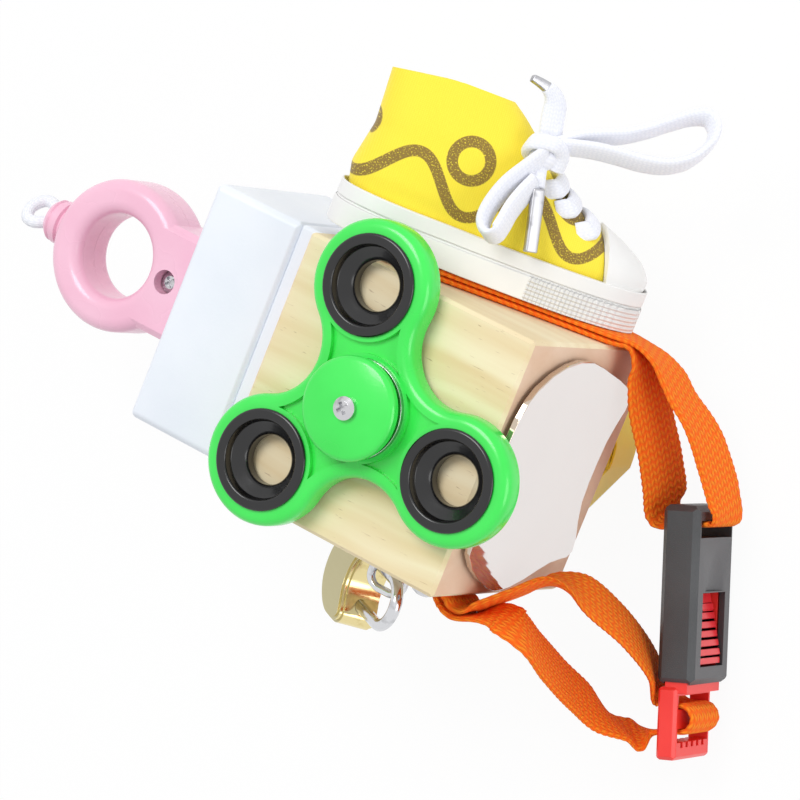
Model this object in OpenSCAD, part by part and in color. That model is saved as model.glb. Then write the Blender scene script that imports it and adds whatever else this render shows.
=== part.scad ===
// Activity cube: a pine cube that carries a spinner, a pull ring, a small shoe, a mirror,
// a padlock, a turning knob and a strap with a buckle. Millimetres, +Z up.
// It lies on the flat knob on its back. The origin is the middle of that rest face,
// +X is the mirror side and +Y the shoe side.

/* [Block] */
// Edge of the pine cube
block_size = 60; // [50:1:80]
// Easing of the cube's edges
block_ease = 0.8; // [0.3:0.1:2]

/* [Spinner] */
// Hub centre to lobe centre
lobe_reach = 26.5; // [25:0.5:32]
// Radius of a lobe
lobe_r = 14.5; // [14:0.1:18]
// Radius of the hollow between two lobes
waist_r = 12.5; // [11:0.5:16]
// Direction of the first lobe
lobe_angle = 109; // [0:1:360]
// Thickness of the spinner body
spinner_t = 5.8; // [5:0.1:8]
// Outside diameter of the ball bearing
bearing_d = 22; // [20:0.5:24]
// Diameter of the hub cap
cap_d = 22.8; // [20:0.1:26]
// Lip diameter of a weight ring
weight_d = 22.4; // [20:0.1:25]
// Finger hole of a weight ring
weight_hole_d = 11; // [8:0.5:13]

/* [Pull box] */
// Depth of the box away from the cube
box_depth = 30; // [28:1:36]
// Length of the box along Y
box_len = 57; // [48:1:60]
// Height of the box along Z
box_high = 48; // [38:1:56]
// Thickness of the base plate
base_t = 6; // [5:0.5:8]
// Wall of the cover
cover_wall = 1.8; // [1.2:0.1:3]
// Radius at which the cord is wound
wind_r = 7; // [5:0.5:7.5]
// Diameter of the pull cord
cord_d = 2.2; // [1.6:0.1:2.6]

/* [Pull ring] */
// Outside diameter of the ring
ring_d = 35.5; // [30:0.5:38]
// Finger hole of the ring
ring_hole_d = 19.5; // [16:0.5:20]
// Thickness of the ring
ring_t = 14.6; // [12:0.2:18]
// Width of the neck
neck_w = 25.6; // [20:0.2:27]
// Ring centre from the box
ring_reach = 29; // [28:0.5:34]

/* [Shoe] */
// Length of the sole
shoe_len = 73; // [60:1:85]
// Width of the sole
shoe_w = 31; // [28:0.5:36]
// Height of the sole's edge band
sole_h = 9.5; // [8:0.5:12]
// Height of the collar above the sole
collar_h = 36; // [32:0.5:42]
// Wall of the canvas upper
upper_wall = 1.6; // [1.2:0.1:2.4]
// Turn of the shoe on the cube
shoe_yaw = 36; // [20:1:45]

/* [Mirror] */
// Half width of the mirror plate
mirror_half = 27; // [20:0.5:28]
// Thickness of the mirror plate
mirror_t = 1.5; // [1:0.1:3]
// Thickness of the foam pad behind it
pad_t = 1; // [0.5:0.1:2]

/* [Padlock] */
// Width of the lock body
lock_w = 22; // [19:0.5:23]
// Height of the lock body
lock_h = 17; // [15:0.5:20]
// Thickness of the lock body
lock_t = 10; // [8:0.5:11]
// Diameter of the shackle wire
shackle_d = 2.8; // [2:0.1:3]
// Spacing of the shackle legs
shackle_gap = 11; // [10:0.5:12]
// Diameter of the staple wire
staple_d = 2; // [1.5:0.1:2.2]

/* [Strap and buckle] */
// Width of the webbing
web_w = 15; // [12:0.5:16]
// Thickness of the webbing
web_t = 1.3; // [1:0.1:1.4]
// Length of the buckle housing
house_len = 40; // [38:0.5:44]
// Thickness of the buckle housing
house_t = 9; // [8.5:0.5:11]
// Width of the buckle housing
house_w = 20; // [19:0.5:22]

/* [Knob] */
// Corner radius of the six-sided knob
knob_r = 31; // [24:0.5:34]
// Thickness of the knob
knob_t = 13.6; // [12:0.2:16]
// Turn of the knob
knob_angle = 6; // [0:1:59]

/* [Clearances] */
// Gap of a running fit on the radius
run_gap = 0.05; // [0.03:0.01:0.1]
// Gap between parts that move past each other
free_gap = 0.4; // [0.3:0.05:0.6]
// Gap between parts that are fixed together
seat_gap = 0.05; // [0.03:0.01:0.1]

/* [Hidden] */
$fn = 48;
half = block_size / 2;
rest_h = knob_t + 1.4;
mid_z = rest_h + half;
face_z = rest_h + block_size;
lobes = [for (i = [0 : 2]) lobe_angle + 120 * i];
spin_pos = [0.4, 1.2];
spin_z = face_z + 1.2;
spin_top = spin_z + spinner_t;
ball_pitch = bearing_d * 15 / 44;
ball_r = 1.98;
bearing_t = 7;
bearing_z = face_z + 1;
cap_z = bearing_z + bearing_t;
cap_t = 4.4;
flange_z = 1.5;
screw_r = 1.6;
box_x = -half - box_depth;
box_y = 1;
ring_y = 0;
reel_x = -half - base_t - 10;
reel_y = ring_y - wind_r;
ring_x = box_x - ring_reach;
neck_x = box_x - 0.6;
ring_screw_x = ring_hole_d / 2 + 5.8;
shoe_lift = 2 * web_t + 0.3;
shoe_pos = [-3, half, mid_z];
collar_top = shoe_lift + collar_h;
collar_rise = 2.2;
shoe_screw_s = [-20, -6];
lock_turn = 37;
lock_top = -6;
staple_x = 4;
leg_y = -half - 7.4;
staple_w = 8.8;
buckle_pos = [half + 22.2, 1.8, 0.2];
buckle_turn = -68;
anchor = [18, -half, face_z - 20];
clip_out = 17;
clip_w = house_w - 2.6;
fork_w = clip_w - 5.4;
house_wall = 1.4;
house_bar = 3.4;
clip_t = 4.8;
clip_bar = [5.6, 10];
clip_slot = 3;
window_from = 19.5;
window_to = house_len - 4;

WOOD = [0.90, 0.80, 0.62];
GREEN = [0.25, 0.92, 0.38];
BLACK = [0.13, 0.13, 0.14];
STEEL = [0.75, 0.76, 0.78];
WHITE = [0.93, 0.94, 0.96];
PINK = [0.95, 0.74, 0.83];
YELLOW = [0.99, 0.88, 0.22];
ORANGE = [1.0, 0.45, 0.08];
RED = [0.93, 0.25, 0.28];
BRASS = [0.86, 0.76, 0.48];
GREY = [0.72, 0.72, 0.74];

// Helpers for swept and lofted shapes
function unit(v) = v / norm(v);
function at(p, i) = p[min(max(i, 0), len(p) - 1)];
function knot(a, b, c, d, t) =
    b + 0.5 * t * (c - a + t * (2 * a - 5 * b + 4 * c - d + t * (3 * (b - c) + d - a)));
function route(p, n) = [
    for (i = [0 : len(p) - 2], k = [0 : n - 1])
        knot(at(p, i - 1), p[i], p[i + 1], at(p, i + 2), k / n),
    p[len(p) - 1]
];
function along(p, i) = unit(at(p, i + 1) - at(p, i - 1));
function square_to(v, t) = unit(v - (v * t) * t);
// Value at h in a list of [h, value] pairs
function level(rows, h, i = 0) =
    i >= len(rows) - 2 || h <= rows[i + 1][0]
    ? rows[i][1] + (rows[i + 1][1] - rows[i][1])
        * min(max((h - rows[i][0]) / (rows[i + 1][0] - rows[i][0]), 0), 1)
    : level(rows, h, i + 1);

// Closed solid through a list of rings with equal counts of points
module skin(rings) {
    n = len(rings);
    m = len(rings[0]);
    polyhedron(
        [for (r = rings, p = r) p],
        concat(
            [[for (j = [0 : m - 1]) j]],
            [for (i = [0 : n - 2], j = [0 : m - 1])
                [i * m + (j + 1) % m, i * m + j, (i + 1) * m + j]],
            [for (i = [0 : n - 2], j = [0 : m - 1])
                [i * m + (j + 1) % m, (i + 1) * m + j, (i + 1) * m + (j + 1) % m]],
            [[for (j = [0 : m - 1]) (n - 1) * m + m - 1 - j]]
        )
    );
}

// Round cord of diameter d through the points p
module cord(p, d, n = 4, sides = 8) {
    q = route(p, n);
    skin([
        for (i = [0 : len(q) - 1])
            let (
                t = along(q, i),
                u = square_to(abs(t[2]) < 0.8 ? [0, 0, 1] : [1, 0, 0], t),
                v = cross(t, u)
            )
            [for (k = [0 : sides - 1])
                q[i] + d / 2 * (cos(360 * k / sides) * u + sin(360 * k / sides) * v)]
    ]);
}

// Flat webbing through the points p, with the width along the directions in dirs
module webbing(p, dirs, w, t, n = 4) {
    q = route(p, n);
    s = route(dirs, n);
    skin([
        for (i = [0 : len(q) - 1])
            let (
                a = along(q, i),
                u = square_to(s[i], a),
                v = cross(a, u)
            )
            [q[i] + u * w / 2 + v * t / 2, q[i] - u * w / 2 + v * t / 2,
             q[i] - u * w / 2 - v * t / 2, q[i] + u * w / 2 - v * t / 2]
    ]);
}

// Coil of wire d at radius r
module coil(r, d, height, turns, steps = 14) {
    skin([
        for (i = [0 : turns * steps])
            let (
                a = 360 * i / steps,
                c = [r * cos(a), r * sin(a), height * i / (turns * steps)]
            )
            [for (k = [0 : 5])
                c + d / 2 * [cos(60 * k) * cos(a), cos(60 * k) * sin(a), sin(60 * k)]]
    ]);
}

// Block with eased edges, centred
module eased_block(size, ease) {
    module plan(w, l) {
        polygon([
            [w / 2 - ease, -l / 2], [w / 2, -l / 2 + ease], [w / 2, l / 2 - ease],
            [w / 2 - ease, l / 2], [-w / 2 + ease, l / 2], [-w / 2, l / 2 - ease],
            [-w / 2, -l / 2 + ease], [-w / 2 + ease, -l / 2]
        ]);
    }
    intersection() {
        linear_extrude(size[2], center = true) plan(size[0], size[1]);
        rotate([90, 0, 0]) linear_extrude(size[1], center = true) plan(size[0], size[2]);
        rotate([90, 0, 90]) linear_extrude(size[0], center = true) plan(size[1], size[2]);
    }
}

// Cross-head screw, head down on z = 0
module cross_screw(head_d, head_h, shank_r, length) {
    difference() {
        union() {
            cylinder(d = head_d, h = head_h * 0.6);
            translate([0, 0, head_h * 0.6])
                cylinder(d1 = head_d, d2 = head_d * 0.6, h = head_h * 0.4);
            translate([0, 0, -length]) cylinder(r = shank_r, h = length + 0.1);
        }
        for (a = [45, 135])
            translate([0, 0, head_h]) rotate(a)
                cube([head_d * 0.55, 0.8, head_h * 1.2], center = true);
    }
}

// Frames in which pieces are drawn
module on_shoe() {
    translate(shoe_pos)
        multmatrix([
            [cos(shoe_yaw), -sin(shoe_yaw), 0, 0],
            [0, 0, 1, 0],
            [-sin(shoe_yaw), -cos(shoe_yaw), 0, 0],
            [0, 0, 0, 1]
        ]) children();
}
module on_buckle() {
    translate(buckle_pos) rotate(buckle_turn) children();
}
module on_lock() {
    translate([staple_x, leg_y - shackle_gap / 2, mid_z])
        rotate([0, -lock_turn, 0]) children();
}
module on_hub() {
    translate([spin_pos[0], spin_pos[1], 0]) children();
}
module at_box_corners() {
    for (y = [-1, 1], z = [-1, 1])
        translate([-half, box_y + y * (box_len / 2 - 6), mid_z + z * (box_high / 2 - 6)])
            rotate([0, -90, 0]) children();
}
module at_shoe_screws() {
    on_shoe() for (s = shoe_screw_s) translate([s, -4, 0]) children();
}

// Pine cube with the pilot holes of everything screwed to it
module wood_block() {
    color(WOOD) difference() {
        translate([0, 0, mid_z])
            eased_block([block_size, block_size, block_size], block_ease);
        on_hub() translate([0, 0, face_z - 16]) cylinder(r = screw_r + seat_gap, h = 20);
        translate([0, 0, rest_h - 1]) cylinder(r = screw_r + seat_gap, h = 17);
        at_box_corners() translate([0, 0, -12]) cylinder(r = 1.3, h = 14);
        at_shoe_screws() translate([0, 0, -12]) cylinder(r = 1.3, h = 14);
        translate([anchor[0], -half - 1, anchor[2]])
            rotate([-90, 0, 0]) cylinder(r = 1.3, h = 13);
        for (x = [-1, 1])
            translate([staple_x + x * staple_w / 2, -half - 1, mid_z])
                rotate([-90, 0, 0]) cylinder(d = staple_d + 2 * seat_gap, h = 11);
    }
}

// Outline of the spinner, drawn in by inset
module spinner_plan(inset) {
    d = (lobe_reach + sqrt(4 * pow(lobe_r + waist_r, 2) - 3 * lobe_reach * lobe_reach)) / 2;
    for (a = lobes) rotate(a) translate([lobe_reach, 0]) circle(lobe_r - inset);
    difference() {
        polygon([
            for (i = [0 : 5])
                let (a = lobes[0] + 60 * i, r = i % 2 == 0 ? lobe_reach : d)
                r * [cos(a), sin(a)]
        ]);
        for (a = lobes) rotate(a + 60) translate([d, 0]) circle(waist_r + inset);
    }
}

module spinner_body() {
    color(GREEN) on_hub() difference() {
        union() {
            translate([0, 0, spin_z]) linear_extrude(spinner_t - 1) spinner_plan(0.4);
            translate([0, 0, spin_z + 0.8]) linear_extrude(spinner_t - 2) spinner_plan(0);
            translate([0, 0, spin_z + spinner_t - 1.1]) linear_extrude(0.6) spinner_plan(0.5);
            translate([0, 0, spin_z + spinner_t - 0.6]) linear_extrude(0.6) spinner_plan(1.2);
        }
        translate([0, 0, spin_top - 1.2]) linear_extrude(2) difference() {
            spinner_plan(3.2);
            for (a = lobes) rotate(a) translate([lobe_reach, 0]) circle(weight_d / 2 + 1);
            circle(cap_d / 2 + 0.6);
        }
        translate([0, 0, spin_z - 1]) cylinder(d = bearing_d + 2 * seat_gap, h = spinner_t + 2);
        for (a = lobes) rotate(a)
            translate([lobe_reach, 0, spin_z - 1])
                cylinder(d = weight_d - 1.8, h = spinner_t + 2);
    }
}

// Pressed-in weight ring with a dished mouth
module weight_ring(i) {
    lip = weight_d / 2;
    hole = weight_hole_d / 2;
    wall = lip - 0.9 - seat_gap;
    color(BLACK) on_hub() rotate(lobes[i]) translate([lobe_reach, 0, spin_z])
        rotate_extrude() polygon([
            [hole, -0.2], [wall, -0.2], [wall, spinner_t + seat_gap],
            [lip, spinner_t + seat_gap], [lip, spinner_t + 0.6], [lip - 0.4, spinner_t + 0.9],
            [lip - 2.1, spinner_t + 0.9], [lip - 2.4, spinner_t + 0.6],
            [lip - 2.7, spinner_t - 1.2], [hole + 1.3, spinner_t - 2.4],
            [hole + 0.4, spinner_t - 3], [hole, spinner_t - 3.6]
        ]);
}
module weight_ring_1() { weight_ring(0); }
module weight_ring_2() { weight_ring(1); }
module weight_ring_3() { weight_ring(2); }

module spinner_cap() {
    r = cap_d / 2;
    bore = screw_r + 0.1;
    color(GREEN) on_hub() translate([0, 0, cap_z]) rotate_extrude() polygon([
        [bore, -5.5], [bearing_d * 4 / 22 - seat_gap, -5.5], [bearing_d * 4 / 22 - seat_gap, 0.02],
        [bearing_d * 5.4 / 22, 0.02], [bearing_d * 5.4 / 22, flange_z], [r - 0.4, flange_z],
        [r, flange_z + 0.4], [r, cap_t - 1], [r - 0.4, cap_t - 0.4],
        [r - 1.2, cap_t], [bore, cap_t]
    ]);
}
module spinner_screw() {
    color(STEEL) on_hub() translate([0, 0, cap_z + cap_t + 0.02])
        cross_screw(5.2, 1.7, screw_r, cap_t + bearing_t + 15);
}
module spinner_spacer() {
    color(STEEL) on_hub() translate([0, 0, face_z + 0.02]) difference() {
        cylinder(d = bearing_d * 10.6 / 22, h = bearing_z - face_z - 0.04);
        translate([0, 0, -1]) cylinder(r = screw_r + 0.1, h = 4);
    }
}

module race(r1, r2) {
    color(STEEL) on_hub() translate([0, 0, bearing_z]) difference() {
        cylinder(r = r2, h = bearing_t);
        translate([0, 0, -1]) cylinder(r = r1, h = bearing_t + 2);
        translate([0, 0, bearing_t / 2])
            rotate_extrude() translate([ball_pitch, 0]) circle(ball_r + run_gap);
    }
}
module bearing_outer_race() { race(ball_pitch + 1.8, bearing_d / 2); }
module bearing_inner_race() { race(bearing_d * 4 / 22, ball_pitch - 1.8); }
module bearing_balls() {
    color(STEEL) on_hub() for (i = [0 : 6]) rotate(i * 360 / 7)
        translate([ball_pitch, 0, bearing_z + bearing_t / 2]) sphere(ball_r);
}

// White box: base plate on the cube, cover over the cord reel
module box_base() {
    x = -half - base_t / 2 - 0.02;
    color(WHITE) difference() {
        union() {
            translate([x, box_y, mid_z]) eased_block([base_t, box_len, box_high], 0.6);
            for (z = [-1, 1])
                translate([reel_x + 4, reel_y, mid_z + z * 8])
                    cube([16, 8, 3], center = true);
        }
        translate([reel_x, reel_y, mid_z]) cylinder(r = 1.5 + seat_gap, h = 40, center = true);
        at_box_corners() {
            translate([0, 0, -1]) cylinder(r = 1.5, h = base_t + 2);
            translate([0, 0, base_t - 2]) cylinder(r = 2.8, h = 4);
        }
    }
}
module box_cover() {
    t = box_depth - base_t;
    x = -half - base_t - t / 2 - seat_gap;
    color(WHITE) difference() {
        translate([x, box_y, mid_z]) eased_block([t, box_len, box_high], 1.2);
        translate([x + cover_wall, box_y, mid_z])
            cube([t, box_len - 2 * cover_wall, box_high - 2 * cover_wall], center = true);
        translate([box_x - 1, ring_y, mid_z]) rotate([0, 90, 0]) cylinder(r = 3, h = 6);
    }
}
module base_screws() {
    color(STEEL) at_box_corners()
        translate([0, 0, base_t - 1.98]) cross_screw(5, 1.7, 1.2, base_t + 7);
}
module cord_reel() {
    color(GREY) translate([reel_x, reel_y, mid_z]) difference() {
        union() {
            cylinder(r = wind_r - cord_d / 2 - 0.1, h = 9, center = true);
            for (z = [-1, 1]) translate([0, 0, z * 4.6])
                cylinder(r = wind_r + 2, h = 1, center = true);
        }
        cylinder(r = 1.5 + run_gap, h = 20, center = true);
        translate([0, 0, -6]) cylinder(r = wind_r - 2.6, h = 4.5);
    }
}
module reel_axle() {
    color(STEEL) translate([reel_x, reel_y, mid_z]) cylinder(r = 1.5, h = 19, center = true);
}
// Flat spring wound in the hollow of the reel
module reel_spring() {
    turns = 3;
    color(STEEL) translate([reel_x, reel_y, mid_z - 4.7]) linear_extrude(2.8) polygon(concat(
        [for (i = [0 : turns * 20]) let (r = 1.9 + (wind_r - 5.3) * i / turns / 20)
            r * [cos(18 * i), sin(18 * i)]],
        [for (i = [turns * 20 : -1 : 0]) let (r = 2.15 + (wind_r - 5.3) * i / turns / 20)
            r * [cos(18 * i), sin(18 * i)]]
    ));
}
module cord_winding() {
    color(WHITE) translate([reel_x, reel_y, mid_z]) for (z = [-1, 1])
        translate([0, 0, z * (cord_d + 0.3)])
            rotate_extrude() translate([wind_r, 0]) circle(cord_d / 2, $fn = 24);
}
module pull_cord() {
    color(WHITE) translate([reel_x, ring_y, mid_z]) rotate([0, -90, 0])
        cylinder(d = cord_d, h = reel_x - ring_x - ring_screw_x - 2);
}
module cord_outlet() {
    color(WHITE) translate([box_x + 0.1, ring_y, mid_z]) rotate([0, 90, 0]) difference() {
        union() {
            cylinder(r = 3 - seat_gap, h = cover_wall);
            translate([0, 0, cover_wall]) cylinder(r = 4.4, h = 1.2);
        }
        translate([0, 0, -1]) cylinder(d = cord_d + 0.6, h = cover_wall + 4);
    }
}

// Pull ring: a rounded ring with a straight neck, split at half its thickness
module ring_solid() {
    wide = (ring_d - ring_hole_d) / 2;
    r = 3;
    difference() {
        union() {
            rotate_extrude() translate([(ring_d + ring_hole_d) / 4, 0]) {
                square([wide - 2 * r, ring_t], center = true);
                square([wide, ring_t - 2 * r], center = true);
                for (x = [-1, 1], y = [-1, 1])
                    translate([x * (wide / 2 - r), y * (ring_t / 2 - r)]) circle(r);
            }
            difference() {
                translate([(neck_x - ring_x) / 2, 0, 0])
                    eased_block([neck_x - ring_x, neck_w, ring_t], 1.6);
                cylinder(r = ring_hole_d / 2 + wide / 2, h = ring_t + 2, center = true);
            }
        }
        translate([ring_screw_x, 0, 0]) rotate([0, 90, 0]) cylinder(d = cord_d + 0.4, h = 40);
        translate([ring_screw_x, 0, 0]) {
            cylinder(r = 1.5, h = 40, center = true);
            translate([0, 0, ring_t / 2 - 4]) cylinder(d = 5.6, h = 10);
        }
    }
}
module ring_shell(up) {
    color(PINK) translate([ring_x, ring_y, mid_z]) intersection() {
        ring_solid();
        translate([0, 0, up * (20 + seat_gap / 2)]) cube([100, 80, 40], center = true);
    }
}
module ring_front_shell() { ring_shell(1); }
module ring_rear_shell() { ring_shell(-1); }
module ring_screw() {
    color(STEEL) translate([ring_x + ring_screw_x, ring_y, mid_z + ring_t / 2 - 3.98])
        cross_screw(5, 1.6, 1.45, ring_t - 6);
}
module ring_collar() {
    color(PINK) translate([ring_x - ring_d / 2 - 0.02, ring_y, mid_z]) rotate([0, -90, 0])
        rotate_extrude() polygon([
            [0, 0], [4.6, 0], [4.6, 0.8], [5.3, 1.2], [5.3, 2.6], [4.7, 3],
            [4.7, 3.5], [5.1, 3.9], [4.4, 4.9], [0, 5.4]
        ]);
}
// White cord loop at the tip of the collar
module finger_loop() {
    x = ring_x - ring_d / 2 - 5.6;
    color(WHITE) translate([x, ring_y, mid_z]) rotate([-48, 0, 0]) cord([
        [-0.4, 2.2, 0], [-2.8, 3.6, 0], [-5.2, 3.2, 0], [-6.5, 0, 0],
        [-5.2, -3.2, 0], [-2.8, -3.6, 0], [-0.4, -2.2, 0]
    ], 2.9, 3);
}

// Shoe: half width of the sole at length s, then an outline as a list of points
function foot(a) = let (
    c = cos(a), s = sin(a),
    w = 1 - 0.10 * pow(max(0, 1 - abs(c + 0.25) * 1.6), 2) - (c < 0 ? 0.12 * c * c : 0)
) [sign(c) * pow(abs(c), 0.72), sign(s) * pow(abs(s), 0.78) * w];
function outline(back, front, wide, z, n = 40) = [
    for (i = [0 : n - 1]) let (p = foot(360 * (i + 0.5) / n))
        [(front + back) / 2 + p[0] * (front - back) / 2, p[1] * wide, z]
];
function flat_of(ring) = [for (p = ring) [p[0], p[1]]];
// Heel, vamp and width lines of the upper, as [height above the sole's foot, value]
heel_line = [[0, -0.46], [0.3, -0.49], [0.6, -0.465], [1, -0.478]];
vamp_line = [
    [0, 0.44], [0.22, 0.462], [0.30, 0.432], [0.38, 0.365], [0.44, 0.295], [0.52, 0.205],
    [0.62, 0.13], [0.72, 0.075], [0.84, 0.025], [0.94, -0.04], [1, -0.09]
];
wide_line = [[0, 0.40], [0.3, 0.43], [0.5, 0.40], [0.7, 0.35], [1, 0.24]];
levels = [0, 0.1, 0.22, 0.30, 0.38, 0.44, 0.52, 0.62, 0.72, 0.84, 0.94, 1];
// The collar's rim rises from the heel to the front
function rim_rise(t, x) = collar_rise * pow(t, 3) * min(max(5 * x / shoe_len + 2.4, 0), 1);
function shoe_ring(t, inset, z) = [
    for (p = outline(
        level(heel_line, t) * shoe_len + inset,
        level(vamp_line, t) * shoe_len - inset,
        level(wide_line, t) * shoe_w - inset,
        z
    )) [p[0], p[1], p[2] + rim_rise(t, p[0])]
];
module upper_form(inset) {
    foot_z = shoe_lift + 4;
    skin([
        for (t = levels)
            shoe_ring(t, inset, foot_z + t * (collar_top - foot_z)
                + (inset > 0.5 ? (t == 0 ? 1.2 : t == 1 ? 1 : 0) : 0))
    ]);
}
module shoe_sole() {
    edge = shoe_len / 2;
    color(WHITE) on_shoe() difference() {
        union() {
            translate([0, 0, shoe_lift]) linear_extrude(sole_h - 4)
                polygon(flat_of(outline(-edge, edge, shoe_w / 2, 0)));
            translate([0, 0, shoe_lift + sole_h - 4]) linear_extrude(0.6)
                polygon(flat_of(outline(-edge + 0.5, edge - 0.5, shoe_w / 2 - 0.5, 0)));
            translate([0, 0, shoe_lift + sole_h - 3.4]) linear_extrude(3.4)
                polygon(flat_of(outline(-edge + 0.2, edge - 0.2, shoe_w / 2 - 0.2, 0)));
        }
        translate([0, 0, shoe_lift + 3.9]) linear_extrude(sole_h)
            polygon(flat_of(outline(-edge + 0.6, edge - 0.6, shoe_w / 2 - 2.0, 0)));
        for (s = shoe_screw_s) translate([s, -4, 0]) cylinder(r = 1.5, h = 20);
    }
}
module toe_plane() {
    translate([shoe_len * 0.305, 0, 18.5]) rotate([0, -18, 0])
        translate([50, 0, 0]) cube([100, 100, 100], center = true);
}
module shoe_upper() {
    color(YELLOW) on_shoe() difference() {
        upper_form(0);
        upper_form(upper_wall);
        translate([-0.1, 0, 0]) toe_plane();
        for (s = shoe_screw_s) translate([s, -4, 0]) cylinder(r = 1.5, h = 20);
    }
}
module toe_cap() {
    color(WHITE) on_shoe() intersection() {
        difference() {
            upper_form(0);
            upper_form(upper_wall);
        }
        toe_plane();
    }
}
// Tongue: a curved strip that stands up inside the front of the collar
module shoe_tongue() {
    color(YELLOW) on_shoe() skin([
        for (t = [0.52, 0.62, 0.72, 0.84, 0.94, 1])
            let (
                s = level(vamp_line, t) * shoe_len - upper_wall - 1.4,
                z = shoe_lift + 4 + t * (collar_h - 4) + rim_rise(t, s) + (t == 1 ? 0.6 : 0),
                w = level(wide_line, t) * 3.4
            )
            concat(
                [for (k = [-4 : 4]) [s - k * k * 0.12, k * w, z]],
                [for (k = [4 : -1 : -4]) [s - 1 - k * k * 0.12, k * w, z]]
            )
    ]);
}
module shoe_insole() {
    edge = shoe_len / 2;
    color(WHITE) on_shoe() difference() {
        translate([0, 0, shoe_lift + 5.25]) linear_extrude(1)
            polygon(flat_of(outline(-edge + 6, edge - 8, shoe_w / 2 - 6, 0)));
        for (s = shoe_screw_s) translate([s, -4, 0]) cylinder(r = 1.5, h = 20);
    }
}
module shoe_screws() {
    color(STEEL) at_shoe_screws()
        translate([0, 0, shoe_lift + 6.27]) cross_screw(5, 1.6, 1.2, shoe_lift + 14);
}

// Lace: crossings on the vamp, a knot and the bow, in the shoe's own frame
lace_w = 5.6;
lace_t = 2.6;
bow_at = [1.7, -7, shoe_lift + 32.1];
function vamp(t, w, up) = let (z = shoe_lift + 4 + t * (collar_h - 4))
    [level(vamp_line, t) * shoe_len - 0.10 * w * w + 0.8 * up, w, z + 0.6 * up];
// Flat lace with round edges through the points p, its width along dirs
module lace(p, dirs, w = lace_w, n = 4) {
    q = route(p, n);
    s = route(dirs, n);
    skin([
        for (i = [0 : len(q) - 1])
            let (
                a = along(q, i),
                u = square_to(s[i], a),
                v = cross(a, u)
            )
            [for (k = [0 : 9])
                q[i] + cos(36 * k) * u * w / 2 + sin(36 * k) * v * lace_t / 2]
    ]);
}
module lace_crossings() {
    color(WHITE) on_shoe() for (t = [0.5, 0.585, 0.66])
        lace([vamp(t, -7.4, 4), vamp(t + 0.01, -4, 3.4), vamp(t + 0.02, 0, 3),
              vamp(t + 0.01, 4, 3.4), vamp(t, 7.4, 4)],
             [for (k = [0 : 4]) [0.7, 0, -0.7]], 4.2, 3);
}
module lace_knot() {
    color(WHITE) on_shoe() translate(bow_at + [-0.2, -2.6, 1.1]) intersection() {
        rotate([90, 0, 0]) cylinder(d = 6.4, h = 6, center = true);
        sphere(d = 7.4);
    }
}
module bow(p, dirs) {
    color(WHITE) on_shoe() translate(bow_at) lace(p, dirs);
}
module lace_loop_right() {
    up = [-0.3, 0.2, 0.9];
    deep = [0.1, 0.9, 0.4];
    bow([[4.4, 1, 2.6], [10.4, 2, 7], [18.4, 3, 11], [25.6, 3, 16.4], [30.6, 2, 19.6],
         [33, -1, 18.6], [33, -3.4, 14.6], [31, -4.6, 10.8], [26.4, -5, 6.6], [18, -4, 4],
         [9.8, -3, 2], [4.4, -2.4, -1]],
        [up, up, deep, deep, [0.7, 0.5, 0.4], [0.8, 0.5, 0.2], [0.8, 0.5, -0.2],
         [0.5, 0.4, -0.7], [-0.2, 0.3, -0.9], [-0.2, 0.3, -0.9], [-0.2, 0.3, -0.9],
         [-0.2, 0.3, -0.9]]);
}
module lace_loop_left() {
    side = [0.6, 0.5, -0.2];
    bow([[-3, -3.6, -1.6], [-6.4, -7, -6.4], [-9, -10.4, -12], [-9.6, -12.4, -17],
         [-7.6, -13.4, -20.2], [-5.4, -12.6, -19], [-4.4, -11, -14.6], [-3.4, -8.2, -9.6],
         [-2.4, -5.4, -5.4]],
        [side, side, side, side, [0.7, 0.6, 0], side, side, side, side]);
}
module lace_end_up() {
    bow([[-0.7, 0, 4.6], [-0.8, 0, 6.8], [-2.3, -1, 9.8], [-4.8, -2, 12]],
        [for (k = [0 : 3]) [0.9, 0.3, 0]]);
}
module lace_end_down() {
    bow([[1.8, -4.8, -3.4], [1.7, -6.2, -5.4], [1.3, -7.1, -7.4]],
        [for (k = [0 : 2]) [0.9, 0.3, 0]]);
}
module tip(p) {
    color(GREY) on_shoe() translate(bow_at) cord(p, 3, 2, 10);
}
module lace_tip_up() {
    tip([[-5.2, -2.1, 12.3], [-6.8, -2.4, 13.2], [-8.8, -2.8, 13.9]]);
}
module lace_tip_down() {
    tip([[1.3, -7.4, -8], [2.4, -9, -14.4], [3.8, -10.4, -20.6]]);
}

// Wavy mirror on a foam pad, its edge through points [along Y, along Z] in thousandths of its half width
mirror_edge = [
    [1000, 350], [900, -300], [700, -800], [300, -700], [-250, -700], [-700, -900],
    [-800, -550], [-1000, 0], [-1000, 400], [-700, 950], [-300, 900], [300, 1050], [750, 900]
];
function round_edge(p, n) = [
    for (i = [0 : len(p) - 1], k = [0 : n - 1])
        let (m = len(p))
        knot(p[(i + m - 1) % m], p[i], p[(i + 1) % m], p[(i + 2) % m], k / n)
];
module mirror_plate() {
    color([0.89, 0.87, 0.86]) translate([half + pad_t + 0.04, 0, mid_z])
        rotate([90, 0, 90]) linear_extrude(mirror_t)
            polygon(round_edge(mirror_edge, 3) * mirror_half / 1000);
}
module mirror_pad() {
    color(GREY) translate([half + 0.02 + pad_t / 2, 0, mid_z])
        cube([pad_t, mirror_half * 1.3, mirror_half * 1.3], center = true);
}

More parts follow.
